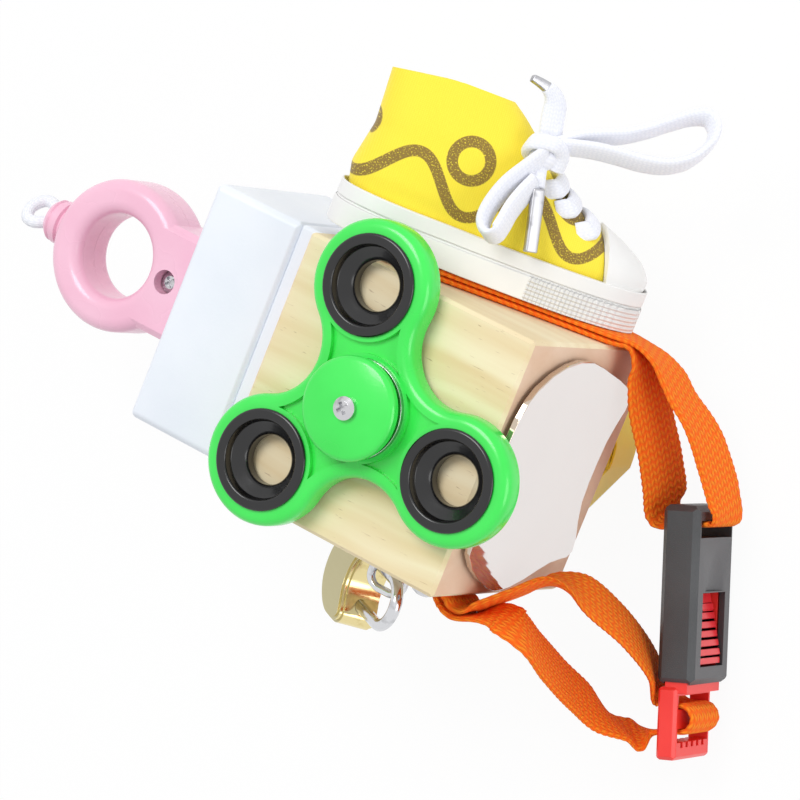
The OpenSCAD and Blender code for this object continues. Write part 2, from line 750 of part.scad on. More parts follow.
// Padlock on a wire staple
module lock_staple() {
    r = staple_d / 2;
    w = staple_w / 2;
    bend = 3;
    depth = 11.4;
    color(STEEL) translate([staple_x, -half, mid_z]) {
        for (x = [-1, 1]) {
            translate([x * w, 9, 0]) rotate([90, 0, 0])
                cylinder(r = r, h = 9 + depth - bend);
            translate([x * (w - bend), -depth + bend, 0]) intersection() {
                rotate_extrude() translate([bend, 0]) circle(r, $fn = 24);
                translate([x * 5, -5, 0]) cube([10, 10, 10], center = true);
            }
        }
        translate([0, -depth, 0]) rotate([0, 90, 0])
            cylinder(r = r, h = 2 * (w - bend), center = true);
    }
}
// Face outline of the lock body, in thousandths of its height and half width
lock_edge = [
    [-176, 0], [-147, 273], [-70, 509], [-12, 709], [-35, 873], [-130, 982], [-294, 1000],
    [-530, 973], [-765, 782], [-941, 436], [-1000, 0], [-941, -436], [-765, -782],
    [-530, -973], [-294, -1000], [-130, -982], [-35, -873], [-12, -709], [-70, -509],
    [-147, -273]
];
// The outline, drawn in by inset
function lock_plan(inset) = let (
    p = round_edge([for (e = lock_edge) [e[0] * lock_h, e[1] * lock_w / 2] / 1000], 3),
    m = len(p)
) [
    for (i = [0 : m - 1])
        let (t = unit(p[(i + 1) % m] - p[(i + m - 1) % m]))
        [p[i][0] - inset * t[1], p[i][1] + inset * t[0]]
];
module lock_body() {
    color(BRASS) on_lock() translate([lock_top, 0, 0]) difference() {
        union() {
            linear_extrude(lock_t, center = true) polygon(lock_plan(1.2));
            linear_extrude(lock_t - 0.8, center = true) polygon(lock_plan(0.5));
            linear_extrude(lock_t - 2.4, center = true) polygon(lock_plan(0));
        }
        for (y = [-1, 1]) translate([-10, y * shackle_gap / 2, 0])
            rotate([0, 90, 0]) cylinder(d = shackle_d + 2 * run_gap, h = 20);
        translate([-lock_h - 1, 0, 0]) rotate([0, 90, 0])
            cylinder(d = 5 + 2 * run_gap, h = 6);
    }
}
module lock_shackle() {
    r = shackle_gap / 2;
    color(STEEL) on_lock() {
        for (y = [-1, 1]) translate([lock_top - 9.5, y * r, 0]) rotate([0, 90, 0])
            cylinder(d = shackle_d, h = 12.5 - lock_top);
        translate([3, 0, 0]) intersection() {
            rotate_extrude() translate([r, 0]) circle(d = shackle_d, $fn = 32);
            translate([10, 0, 0]) cube([20, 40, 20], center = true);
        }
    }
}
module lock_plug() {
    color(BRASS) on_lock() translate([lock_top - lock_h + 0.1, 0, 0]) rotate([0, 90, 0])
        difference() {
            cylinder(d = 5, h = 4.7);
            translate([0, 0, -1]) cube([1, 3.4, 6], center = true);
        }
}

// Webbing loops, with their points at the buckle in its own frame
function by_buckle(a, b, up) = buckle_pos + [
    cos(buckle_turn) * a - sin(buckle_turn) * b,
    sin(buckle_turn) * a + cos(buckle_turn) * b,
    house_w / 2 + up
];
module upper_strap() {
    up = [0, 0, -1];
    lean = [0.2, 0, -0.98];
    flat = [-0.62, 0, -0.78];
    x = half;
    y1 = half + web_t / 2 + 0.05;
    y2 = half + 1.5 * web_t + 0.15;
    c = mid_z;
    in_slot = house_bar + web_t / 2 + seat_gap;
    color(ORANGE) difference() {
        webbing(
            [[-19, y1, c + 20], [-4, y1, c + 8.5], [12, y1, c - 3], [x - 5, y1, c - 11.4],
             [x, y1 + 0.4, c - 14.4], [x + 3.4, half - 1, c - 16.2], [x + 5.4, 25, c - 18],
             [x + 7.2, 21, 25], [x + 9.4, 15.8, 22], [x + 12, 9.8, 18.5],
             [x + 14.2, 3.6, 15], by_buckle(0.8, -7.2, 1.8), by_buckle(3.2, -6.4, 0.5),
             by_buckle(in_slot + 0.1, -4.6, 0), by_buckle(in_slot, 0, 0),
             by_buckle(in_slot + 0.1, 4.6, 0), by_buckle(3.6, 6.5, 0),
             by_buckle(1, 7.1, 0.6), by_buckle(-2.5, 6.6, 1.8),
             [x + 23.5, 13, 15.4], [x + 21, 16.7, 17.6], [x + 18, 20.2, 20],
             [x + 14.3, 23.7, 22.5], [x + 10.6, 27.4, c - 20], [x + 6.2, y2 - 1.6, c - 17.8],
             [x + 0.6, y2, c - 15.2], [x - 6, y2, c - 10.8], [12, y2, c - 3],
             [-4, y2, c + 8.5], [-19, y2, c + 20]],
            [flat, flat, flat, flat,
             [-0.45, 0, -0.9], [-0.1, 0, -1], [0.1, 0, -0.99],
             lean, lean, lean,
             lean, lean, [0.1, 0, -0.99],
             up, up, up,
             up, up, [0.1, 0, -0.99],
             [0.1, 0, -0.99], [0.08, 0, -0.99], [0.05, 0, -1],
             up, up, [-0.2, 0, -0.98],
             [-0.5, 0, -0.86], flat, flat,
             flat, flat],
            web_w, web_t
        );
        at_shoe_screws() cylinder(r = 1.5, h = 20, center = true);
    }
}
module lower_strap() {
    up = [0, 0, 1];
    toward = [0.5, 0.5, 0.7];
    aside = [0.6, 0, 0.8];
    away = [0.6, -0.4, 0.7];
    ease = [0.3, -0.2, 0.9];
    x = half;
    y1 = -half - web_t / 2 - 0.05;
    y2 = -half - 1.5 * web_t - 0.15;
    z = anchor[2];
    c = mid_z;
    bar_from = house_len + clip_bar[0] - web_t / 2 - seat_gap;
    bar_to = house_len + clip_bar[1] + web_t / 2 + seat_gap;
    color(ORANGE) difference() {
        webbing(
            [[anchor[0] - 5, y1, z], [anchor[0] + 2, y1, z], [x - 5, y1 - 0.3, z],
             [x, -half - 3, z], [x + 4, -half + 1, z - 3], [x + 8, -half + 6, c],
             [x + 12, -half + 8, c - 5], [x + 17, -23, 35], [x + 23, -27, 27], [x + 28, -33, 18],
             by_buckle(bar_from - 4, -7.5, 2), by_buckle(bar_from - 1, -5, 0),
             by_buckle(bar_from, -2, 0), by_buckle(bar_from, 1, 0),
             by_buckle(bar_from + 1, 2.6, 0), by_buckle((bar_from + bar_to) / 2, 3.4, 0),
             by_buckle(bar_to - 1, 2.6, 0), by_buckle(bar_to, 1, 0), by_buckle(bar_to, -2, 0),
             by_buckle(bar_to + 0.5, -5, 0), by_buckle(bar_to + 1, -8, 0),
             by_buckle(bar_to + 2, -12, 2),
             [x + 27, -51, 16], [x + 22, -48, 23], [x + 18, -44, 31], [x + 15, -half - 8, c - 2],
             [x + 12, -half - 3, c + 6], [x + 6, -half - 2, z - 2], [x, -half - 5, z],
             [x - 4, -half - 4, z], [anchor[0] + 5, y2 - 0.2, z], [anchor[0] - 5, y2, z]],
            [up, up, up, up, toward, toward, aside, away, away, away,
             ease, up, up, up, up, up, up, up, up, up, up, ease,
             aside, away, away, away, away, ease, up, up, up, up],
            web_w, web_t, 4
        );
        translate([anchor[0], -half + 1, anchor[2]]) rotate([90, 0, 0]) cylinder(r = 1.6, h = 8);
    }
}
module strap_washer() {
    color(STEEL) translate([anchor[0], -half - 2 * web_t - 0.35, anchor[2]])
        rotate([90, 0, 0]) difference() {
            cylinder(r = 4, h = 0.8);
            translate([0, 0, -1]) cylinder(r = 1.5, h = 3);
        }
}
module strap_screw() {
    color(STEEL) translate([anchor[0], -half - 2 * web_t - 1.2, anchor[2]])
        rotate([90, 0, 0]) cross_screw(5, 1.6, 1.2, 2 * web_t + 11);
}

// Buckle, drawn along its own X from the strap end
module buckle_housing() {
    color(BLACK) on_buckle() difference() {
        translate([house_len / 2, 0, house_w / 2])
            eased_block([house_len, house_t, house_w], 1.4);
        translate([house_bar, -house_t, (house_w - web_w - 1.4) / 2])
            cube([3.8, 2 * house_t, web_w + 1.4]);
        translate([11, -house_t / 2 + house_wall, (house_w - clip_w) / 2 - free_gap])
            cube([house_len, house_t - 2 * house_wall, clip_w + 2 * free_gap]);
        translate([window_from, 0, (house_w - fork_w) / 2])
            cube([window_to - window_from, house_t, fork_w]);
        translate([window_from + 1, house_t / 2 + 13, house_w / 2])
            rotate([0, -90, -5.7]) cylinder(r = 14, h = 16, $fn = 96);
    }
}
// Ridged wedge that shows in the window
module buckle_button() {
    y = house_t / 2 - house_wall;
    w = fork_w - 2 * free_gap;
    low = window_from + 2.5;
    high = window_to - 1.4;
    slope = 2.5 / (high - low);
    color(RED) on_buckle() translate([0, 0, house_w / 2]) {
        translate([0, 0, -w / 2]) linear_extrude(w) polygon([
            [window_from + 0.5, -0.6], [window_to - 0.5, -0.6], [window_to - 0.5, y + 0.9],
            [high, y + 0.9], [low, y - 1.6], [window_from + 0.5, y - 2]
        ]);
        for (x = [low + 0.9 : 2 : high - 1]) translate([x, y - 1.6 + slope * (x - low), 0])
            rotate(atan(slope)) cube([1.3, 0.6, w - 0.2], center = true);
    }
}
module button_spring() {
    x = (window_from + window_to) / 2;
    color(STEEL) on_buckle() translate([x, -0.7, house_w / 2]) rotate([90, 0, 0])
        coil(1.5, 0.4, house_t / 2 - house_wall - 1, 1.5);
}
module buckle_clip() {
    t = house_t - 2 * house_wall - 2 * free_gap;
    slot_z = (house_w - web_w - 1.2) / 2;
    color(RED) on_buckle() difference() {
        union() {
            translate([13, -t / 2, (house_w - clip_w) / 2]) cube([house_len - 11, t, clip_w]);
            translate([house_len + clip_out / 2 + 0.3, (clip_t - house_t) / 2 + 0.3, house_w / 2])
                eased_block([clip_out - 0.6, clip_t, house_w - 1], 0.8);
        }
        translate([12, -t, (house_w - fork_w) / 2]) cube([house_len - 14, 2 * t, fork_w]);
        for (x = [clip_bar[0] - clip_slot, clip_bar[1]])
            translate([house_len + x, -house_t, slot_z]) cube([clip_slot, 2 * house_t, web_w + 1.2]);
        for (i = [-2 : 2])
            translate([house_len + clip_bar[1] + clip_slot - 0.1, -house_t, house_w / 2 + 2.8 * i - 0.6])
                cube([1.3, 2 * house_t, 1.2]);
    }
}

// Six-sided knob on the back, turning on a bush
module knob_plan(r, ease) {
    intersection() {
        rotate(knob_angle) circle(r, $fn = 6);
        circle(r - ease, $fn = 96);
    }
}
module hex_knob() {
    color(YELLOW) difference() {
        union() {
            linear_extrude(1.2) knob_plan(knob_r - 1.2, 1.2);
            translate([0, 0, 1.2]) linear_extrude(knob_t - 2.4) knob_plan(knob_r, 1.5);
            translate([0, 0, knob_t - 1.2]) linear_extrude(1.2) knob_plan(knob_r - 1.2, 1.2);
        }
        translate([0, 0, -1]) cylinder(r = 4 + run_gap, h = knob_t + 2);
        translate([0, 0, -1]) cylinder(r = 7, h = 4.4);
    }
}
module knob_bush() {
    color(WHITE) difference() {
        translate([0, 0, 3.45]) cylinder(r = 4, h = rest_h - 3.5);
        translate([0, 0, 2]) cylinder(r = screw_r + 0.1, h = rest_h);
    }
}
module knob_washer() {
    color(STEEL) translate([0, 0, 2.6]) difference() {
        cylinder(r = 6.2, h = 0.5);
        translate([0, 0, -1]) cylinder(r = screw_r + 0.1, h = 3);
    }
}
module knob_screw() {
    color(STEEL) translate([0, 0, 2.58]) rotate([180, 0, 0])
        cross_screw(6, 1.7, screw_r, rest_h + 12);
}

wood_block();
spinner_body();
weight_ring_1();
weight_ring_2();
weight_ring_3();
spinner_cap();
spinner_screw();
spinner_spacer();
bearing_outer_race();
bearing_inner_race();
bearing_balls();
box_base();
box_cover();
base_screws();
cord_reel();
reel_axle();
reel_spring();
cord_winding();
pull_cord();
cord_outlet();
ring_front_shell();
ring_rear_shell();
ring_screw();
ring_collar();
finger_loop();
shoe_sole();
toe_cap();
shoe_upper();
shoe_tongue();
shoe_insole();
shoe_screws();
lace_crossings();
lace_knot();
lace_loop_right();
lace_loop_left();
lace_end_up();
lace_end_down();
lace_tip_up();
lace_tip_down();
mirror_plate();
mirror_pad();
lock_staple();
lock_body();
lock_shackle();
lock_plug();
upper_strap();
lower_strap();
strap_screw();
strap_washer();
buckle_housing();
buckle_button();
button_spring();
buckle_clip();
hex_knob();
knob_screw();
knob_bush();
knob_washer();
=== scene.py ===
# %% [markdown]
# # An activity cube, dressed for a studio picture
# The construction model gives every rigid piece at its true size. This lesson loads it, adds the
# pieces that a solid modeller draws badly, such as laces and woven tape, and gives each surface a
# finish made from nodes. All sizes are in metres, in the frame of the construction model.

# %% Load the frame
import math
import bpy
import bmesh
from mathutils import Matrix, Vector


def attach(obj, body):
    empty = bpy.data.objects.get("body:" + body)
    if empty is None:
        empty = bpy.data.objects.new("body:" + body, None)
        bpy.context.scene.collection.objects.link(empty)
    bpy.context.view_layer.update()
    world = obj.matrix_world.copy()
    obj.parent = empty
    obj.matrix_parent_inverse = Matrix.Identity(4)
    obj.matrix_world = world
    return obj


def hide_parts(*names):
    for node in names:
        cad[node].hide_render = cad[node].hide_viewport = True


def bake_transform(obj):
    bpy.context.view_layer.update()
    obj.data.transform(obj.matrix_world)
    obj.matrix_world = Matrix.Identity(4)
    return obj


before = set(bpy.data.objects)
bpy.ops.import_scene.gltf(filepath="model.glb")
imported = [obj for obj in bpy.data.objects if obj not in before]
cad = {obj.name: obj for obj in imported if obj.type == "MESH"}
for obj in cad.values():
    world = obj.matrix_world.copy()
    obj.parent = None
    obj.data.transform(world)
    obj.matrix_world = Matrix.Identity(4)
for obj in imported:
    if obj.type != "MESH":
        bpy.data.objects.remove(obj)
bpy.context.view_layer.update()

# %% [markdown]
# ## Camera
# The picture was taken with a long lens, so parallel edges stay nearly parallel. The three
# directions below are the picture's right, its up and the way back to the camera. A camera in
# Blender looks along its own -Z, so these three are the columns of its rotation. The lens and the
# sensor are in millimetres, as on a real camera.

# %% Camera
CAMERA_AT = (0.38525, 0.16665, 0.82753)
LENS, SENSOR = 179.7, 36.0
view_right = Vector((0.7974, 0.3649, -0.4806)).normalized()
view_back = Vector((0.4426, 0.1877, 0.8768)).normalized()
view_up = view_back.cross(view_right).normalized()
view_right = view_up.cross(view_back)
camera_data = bpy.data.cameras.new("studio_camera")
camera_data.lens = LENS
camera_data.sensor_width = SENSOR
camera_data.clip_end = 20.0
camera = bpy.data.objects.new("studio_camera", camera_data)
turn = Matrix((view_right, view_up, view_back)).transposed().to_4x4()
camera.matrix_world = Matrix.Translation(CAMERA_AT) @ turn
bpy.context.scene.collection.objects.link(camera)
bpy.context.scene.camera = camera
print("lens:", camera_data.lens)

# %% [markdown]
# ## Lines to sweep along
# Laces and tape follow short lists of points. A spline through those points gives a smooth line,
# and a cross-section carried along it gives the piece. The cross-section needs a width direction
# as well, because tape twists, so the directions run through the same spline. Points are written
# in millimetres. HALF is half an edge of the cube and MID_Z the height of its middle.

# %% Splines
MM = 0.001
HALF, MID_Z = 30, 45


def spline(points, steps):
    pts = [Vector(p) for p in points]
    line = []
    for i in range(len(pts) - 1):
        a = pts[max(i - 1, 0)]
        b, c = pts[i], pts[i + 1]
        d = pts[min(i + 2, len(pts) - 1)]
        for k in range(steps):
            t = k / steps
            line.append(b + 0.5 * t * (c - a + t * (2 * a - 5 * b + 4 * c - d
                        + t * (3 * (b - c) + d - a))))
    return line + [pts[-1]]


def resample(line, sides, step):
    """Points a step apart along the line, with the side directions carried along."""
    out_line, out_sides, run = [line[0]], [sides[0]], 0.0
    for a, b, sa, sb in zip(line, line[1:], sides, sides[1:]):
        length = (b - a).length
        at = step - run
        while at <= length:
            f = at / length
            out_line.append(a.lerp(b, f))
            out_sides.append(sa.lerp(sb, f))
            at += step
        run = length - (at - step)
    return out_line, out_sides


def line_length(line):
    return sum((b - a).length for a, b in zip(line, line[1:]))


print("spline through 3 points:", len(spline([(0, 0, 0), (1, 0, 0), (1, 1, 0)], 4)))

# %% [markdown]
# ## Sweeping
# The sweep builds rings of points, joins them with quads and closes the ends. It also writes a UV
# map in millimetres, along the piece and round its section, so that a weave follows every turn.
# A finished piece then stands in for the plain node of the construction model.

# %% Sweep


def new_piece(name, bm, finish=None):
    mesh = bpy.data.meshes.new(name)
    bm.normal_update()
    bm.to_mesh(mesh)
    bm.free()
    for polygon in mesh.polygons:
        polygon.use_smooth = True
    piece = bpy.data.objects.new(name, mesh)
    bpy.context.scene.collection.objects.link(piece)
    if finish:
        mesh.materials.append(finish)
    return piece


def stand_in(piece, node, body=None, finish=None):
    """Shows the piece instead of a node, on the body that carries it."""
    if finish:
        piece.data.materials.append(finish)
    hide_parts(node)
    if body:
        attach(piece, body)


def sweep(name, line, sides, section):
    """section(i, s) gives (across, out) for each point of ring i, at s metres along."""
    bm = bmesh.new()
    uv = bm.loops.layers.uv.new("UVMap")
    rings, along, around, s = [], [], [0.0], 0.0
    first = section(0, 0.0)
    for (a, b), (c, d) in zip(first, first[1:] + first[:1]):
        around.append(around[-1] + math.hypot(c - a, d - b) / MM)
    for i, p in enumerate(line):
        if i:
            s += (p - line[i - 1]).length
        ahead = (line[min(i + 1, len(line) - 1)] - line[max(i - 1, 0)]).normalized()
        across = (sides[i] - ahead * sides[i].dot(ahead)).normalized()
        out = ahead.cross(across)
        rings.append([bm.verts.new(p + across * a + out * o) for a, o in section(i, s)])
        along.append(s / MM)
    count = len(rings[0])
    for i in range(len(rings) - 1):
        for j in range(count):
            k = (j + 1) % count
            face = bm.faces.new((rings[i][k], rings[i][j], rings[i + 1][j], rings[i + 1][k]))
            corners = ((i, j + 1), (i, j), (i + 1, j), (i + 1, j + 1))
            for loop, (m, n) in zip(face.loops, corners):
                loop[uv].uv = (along[m], around[n])
    bm.faces.new(rings[0])
    bm.faces.new(list(reversed(rings[-1])))
    bmesh.ops.recalc_face_normals(bm, faces=bm.faces)
    return new_piece(name, bm)


def oval(width, thick, count=16, power=0.8):
    """Cross-section of a cord or lace: an oval, with fuller shoulders for a lower power."""
    points = []
    for j in range(count):
        a = 2 * math.pi * j / count
        c, d = math.cos(a), math.sin(a)
        x = math.copysign(abs(c) ** power, c) * width / 2
        y = math.copysign(abs(d) ** power, d) * thick / 2
        points.append((x, y))
    return points


print("oval section:", len(oval(1.0, 0.5)), "points")

# %% [markdown]
# ## The shoe's own frame
# The small shoe stands askew on the upper side of the cube. Its frame has X from heel to toe,
# Y across and Z up out of the sole, so its pieces are drawn upright and then carried over.

# %% Shoe frame
SHOE_LIFT = 2.9
SHOE_YAW = math.radians(36)
shoe_turn = Matrix((
    (math.cos(SHOE_YAW), -math.sin(SHOE_YAW), 0),
    (0, 0, 1),
    (-math.sin(SHOE_YAW), -math.cos(SHOE_YAW), 0),
))
shoe_origin = Vector((-3, HALF, MID_Z))


def from_shoe(p):
    return (shoe_origin + shoe_turn @ Vector(p)) * MM


print("toe points along", tuple(round(x, 3) for x in shoe_turn @ Vector((1, 0, 0))))

# %% [markdown]
# ## Lace
# The lace is a flat hollow braid. Its bow has a wide loop that stands out, a loop that hangs, and
# two short ends with metal tips. A sweep with an oval section keeps the width where it should be,
# which a plain round curve bevel can't do. The bow's points were traced on a picture and carried
# to depths that were chosen one by one.

# %% Bow loops
LACE_W, LACE_T, LACE_STEP = 6.2 * MM, 2.2 * MM, 0.6 * MM
bow_centre = Vector((1.7, -7, SHOE_LIFT + 32.1))
RIGHT_LOOP = [(1.5, -2, 1.5), (6, -0.5, 4.4), (10.3, 0.5, 6.2), (15.2, 1.2, 8), (19.9, 1.6, 10.9),
              (24.1, 1.8, 14.2), (27.9, 1.4, 17.1), (31, 0.4, 18.5), (33, -1, 17.4),
              (33.4, -2.4, 14.9), (32.3, -3.4, 11.8), (29.7, -4.2, 8.4), (25.6, -4.4, 5.9),
              (20.7, -4, 4.7), (15.6, -3.4, 4.2), (10.9, -2.8, 3.6), (6.8, -2.4, 2.7),
              (2, -2.4, 1.4)]
LEFT_LOOP = [(0.3, -4.5, -0.8), (-3.1, -6.6, -5.3), (-6.2, -8.8, -9.8), (-8.1, -10.8, -14.6),
             (-8.5, -12.2, -18.2), (-7.2, -13.2, -20.2), (-5.2, -13.2, -19.8),
             (-4.3, -12.2, -17.4), (-3.6, -10.8, -14.2), (-2.1, -8.8, -10.6), (-0.1, -6.6, -7.1)]
END_UP = [(0.3, -2, 1.4), (-0.8, -1.5, 5.8), (-1.5, -1.2, 9.3), (-2.9, -1.6, 11.5),
          (-5, -2.2, 12.7)]
END_DOWN = [(0, -3.5, -3), (0.3, -5, -5.3), (0.9, -6.8, -8.2)]


def from_bow(points):
    """A line through points that are given from the bow's centre."""
    return [from_shoe(bow_centre + p) for p in spline(points, 8)]


def lace(name, points, side, wide=LACE_W, narrow=0.0):
    """A lace that is narrower by the given share at its far end."""
    line = from_bow(points)
    line, turns = resample(line, [shoe_turn @ Vector(side)] * len(line), LACE_STEP)
    last = len(line) - 1
    return sweep(name, line, turns, lambda i, s: oval(
        wide * (1 - narrow * max(0, i / last - 0.6) / 0.4), LACE_T)), line


loop_right, loop_right_line = lace("bow_loop_right", RIGHT_LOOP, (0, 0.75, -0.65))
loop_left, loop_left_line = lace("bow_loop_left", LEFT_LOOP, (0.6, 0.65, -0.4))
for piece, line, node in ((loop_right, loop_right_line, "lace_loop_right"),
                          (loop_left, loop_left_line, "lace_loop_left")):
    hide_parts(node)
    print(piece.name, "length mm:", round(line_length(line) / MM, 1))

# %% Lace ends
end_up = lace("bow_end_up", END_UP, (0.9, 0.3, 0.2), 5.6 * MM, 0.5)[0]
end_down = lace("bow_end_down", END_DOWN, (0.9, 0.3, 0), 3.0 * MM)[0]
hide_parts("lace_end_up")
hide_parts("lace_end_down")
print("ends:", end_up.name, end_down.name)

# %% [markdown]
# ## Finishes: shared effects
# Moulded plastic is never one flat colour: it has a faint mottle and a fine orange-peel skin.
# Cloth has threads, and metal has fine scratches. Each effect is a node group with its own inputs,
# placed in every material that needs it.

# %% Node helpers


def linear(r, g, b):
    """A screen colour, 0 to 255, as the linear colour that the shader works in."""
    def one(v):
        v /= 255
        return v / 12.92 if v <= 0.04045 else ((v + 0.055) / 1.055) ** 2.4
    return (one(r), one(g), one(b), 1.0)


def add(tree, kind, links=(), **settings):
    """A new node; links are (input name or number, value or socket)."""
    node = tree.nodes.new(kind)
    for key, value in settings.items():
        setattr(node, key, value)
    for key, value in links:
        if isinstance(value, bpy.types.NodeSocket):
            tree.links.new(value, node.inputs[key])
        else:
            node.inputs[key].default_value = value
    return node


def maths(tree, operation, a, b=0.5, c=0.5):
    node = add(tree, "ShaderNodeMath", [(0, a), (1, b), (2, c)], operation=operation)
    return node.outputs[0]


def blend_colour(tree, factor, a, b):
    node = add(tree, "ShaderNodeMix", [(0, factor), (6, a), (7, b)], data_type="RGBA")
    return node.outputs[2]


def coordinate(tree, kind):
    return add(tree, "ShaderNodeTexCoord").outputs[kind]


def stretched(tree, place, scale):
    return add(tree, "ShaderNodeMapping", [("Vector", place), ("Scale", scale)]).outputs[0]


def noise(tree, place, scale, detail=2.0, output=0):
    node = add(tree, "ShaderNodeTexNoise", [("Vector", place), ("Scale", scale),
                                            ("Detail", detail)])
    return node.outputs[output]


def ramp(tree, value, low, high):
    """0 at low, 1 at high and straight between."""
    return add(tree, "ShaderNodeMapRange", [(0, value), (1, low), (2, high)]).outputs[0]


def vectors(tree, operation, a, b, output=0):
    node = add(tree, "ShaderNodeVectorMath", [(0, a), (1, b)], operation=operation)
    return node.outputs[output]


def group(name, inputs, outputs):
    tree = bpy.data.node_groups.new(name, "ShaderNodeTree")
    for label, kind, value in inputs:
        socket = tree.interface.new_socket(label, in_out="INPUT", socket_type=kind)
        if value is not None:
            socket.default_value = value
    for label, kind in outputs:
        tree.interface.new_socket(label, in_out="OUTPUT", socket_type=kind)
    return tree, tree.nodes.new("NodeGroupInput"), tree.nodes.new("NodeGroupOutput")


def give(tree, g_out, **results):
    for label, socket in results.items():
        tree.links.new(socket, g_out.inputs[label])


COLOUR, NUMBER = "NodeSocketColor", "NodeSocketFloat"
print("a mid grey, linear:", [round(x, 3) for x in linear(128, 128, 128)])

# %% Moulded skin
moulded, g_in, g_out = group(
    "moulded_skin",
    [("Colour", COLOUR, None), ("Shade", COLOUR, None), ("Grain", NUMBER, 900.0),
     ("Roughness", NUMBER, 0.3)],
    [("Colour", COLOUR), ("Roughness", NUMBER), ("Height", NUMBER)])
place = coordinate(moulded, "Object")
cloud = noise(moulded, place, 60.0, 3.0)
peel = noise(moulded, place, g_in.outputs["Grain"])
tint = blend_colour(moulded, ramp(moulded, cloud, 0.35, 0.65), g_in.outputs["Colour"],
                    g_in.outputs["Shade"])
drift = maths(moulded, "MULTIPLY_ADD", cloud, 0.12, -0.06)
give(moulded, g_out, Colour=tint, Height=peel,
     Roughness=maths(moulded, "ADD", g_in.outputs["Roughness"], drift))
print("group:", moulded.name)

# %% Woven threads
woven, g_in, g_out = group(
    "woven_threads",
    [("Stitch", NUMBER, 1.6), ("Column", NUMBER, 1.2), ("Slant", NUMBER, 0.5),
     ("High colour", COLOUR, None), ("Low colour", COLOUR, None)],
    [("Colour", COLOUR), ("Height", NUMBER)])
uv_map = coordinate(woven, "UV")
parts = add(woven, "ShaderNodeSeparateXYZ", [(0, uv_map)])
column = maths(woven, "DIVIDE", parts.outputs[1], g_in.outputs["Column"])
zigzag = maths(woven, "PINGPONG", column, 1.0)
stitch = maths(woven, "DIVIDE", parts.outputs[0], g_in.outputs["Stitch"])
phase = maths(woven, "MULTIPLY_ADD", zigzag, g_in.outputs["Slant"], stitch)
wave = maths(woven, "SINE", maths(woven, "MULTIPLY", phase, 2 * math.pi))
wave = maths(woven, "MULTIPLY_ADD", wave, 0.5, 0.5)
rib = maths(woven, "ABSOLUTE", maths(woven, "SINE", maths(woven, "MULTIPLY", column, math.pi)))
rib = maths(woven, "POWER", rib, 0.5)
relief = maths(woven, "MULTIPLY", maths(woven, "MULTIPLY_ADD", wave, 0.75, 0.25), rib)
relief = maths(woven, "MULTIPLY_ADD", noise(woven, uv_map, 6.0), 0.25, relief)
give(woven, g_out, Height=relief, Colour=blend_colour(
    woven, relief, g_in.outputs["Low colour"], g_in.outputs["High colour"]))
print("group:", woven.name)

# %% Fine scratches
scratched, g_in, g_out = group(
    "fine_scratches",
    [("Colour", COLOUR, None), ("Stain", COLOUR, None), ("Roughness", NUMBER, 0.15)],
    [("Colour", COLOUR), ("Roughness", NUMBER), ("Height", NUMBER)])
place = coordinate(scratched, "Object")
lines = noise(scratched, stretched(scratched, place, (300, 4000, 300)), 1.0)
spots = ramp(scratched, noise(scratched, place, 350.0, 4.0), 0.55, 0.75)
give(scratched, g_out, Height=lines,
     Colour=blend_colour(scratched, spots, g_in.outputs["Colour"], g_in.outputs["Stain"]),
     Roughness=maths(scratched, "MULTIPLY_ADD", lines, 0.12, g_in.outputs["Roughness"]))
print("group:", scratched.name)

# %% [markdown]
# ## Finishes: materials
# A material takes one group and sets what is the same all over, such as the coat, directly on its
# shader. Bump strength is small: these are thumb-sized things seen from near.

# %% Material builders


def material(name, **fixed):
    mat = bpy.data.materials.new(name)
    mat.use_nodes = True
    shader = mat.node_tree.nodes["Principled BSDF"]
    for label, value in fixed.items():
        shader.inputs[label.replace("_", " ")].default_value = value
    return mat, mat.node_tree, shader


def bump(tree, shader, height, distance, strength=1.0):
    node = add(tree, "ShaderNodeBump", [("Height", height), ("Distance", distance),
                                        ("Strength", strength)])
    tree.links.new(node.outputs[0], shader.inputs["Normal"])
    return node


def wear(tree, shader, skin, depth, strength=1.0):
    """Feeds a group's colour, height and, where it has one, roughness to the shader."""
    for label, socket in (("Colour", "Base Color"), ("Roughness", "Roughness")):
        if label in skin.outputs:
            tree.links.new(skin.outputs[label], shader.inputs[socket])
    bump(tree, shader, skin.outputs["Height"], depth * MM, strength)


def plastic(name, colour, shade, roughness, grain=900.0, peel_depth=0.02, **fixed):
    mat, tree, shader = material(name, **fixed)
    skin = add(tree, "ShaderNodeGroup", [
        ("Colour", linear(*colour)), ("Shade", linear(*shade)), ("Grain", grain),
        ("Roughness", roughness)], node_tree=moulded)
    wear(tree, shader, skin, peel_depth)
    return mat


def cloth(name, high, low, stitch, column, slant, depth, **fixed):
    mat, tree, shader = material(name, **{"Roughness": 0.85, **fixed})
    threads = add(tree, "ShaderNodeGroup", [
        ("Stitch", stitch), ("Column", column), ("Slant", slant),
        ("High colour", linear(*high)), ("Low colour", linear(*low))], node_tree=woven)
    wear(tree, shader, threads, depth)
    return mat


def metal(name, colour, stain, roughness, depth=0.01):
    mat, tree, shader = material(name, Metallic=1.0)
    skin = add(tree, "ShaderNodeGroup", [
        ("Colour", linear(*colour)), ("Stain", linear(*stain)), ("Roughness", roughness)],
        node_tree=scratched)
    wear(tree, shader, skin, depth, 0.4)
    return mat


def inside(mat):
    """Node tree, shader and group of a finished material, for a change to a part of it."""
    tree = mat.node_tree
    return tree, tree.nodes["Principled BSDF"], next(n for n in tree.nodes if n.type == "GROUP")


def facing(tree, direction, low, high):
    """1 where the surface points along the direction, in the piece's own frame."""
    share = vectors(tree, "DOT_PRODUCT", coordinate(tree, "Normal"), direction, "Value")
    return ramp(tree, maths(tree, "ABSOLUTE", share), low, high)


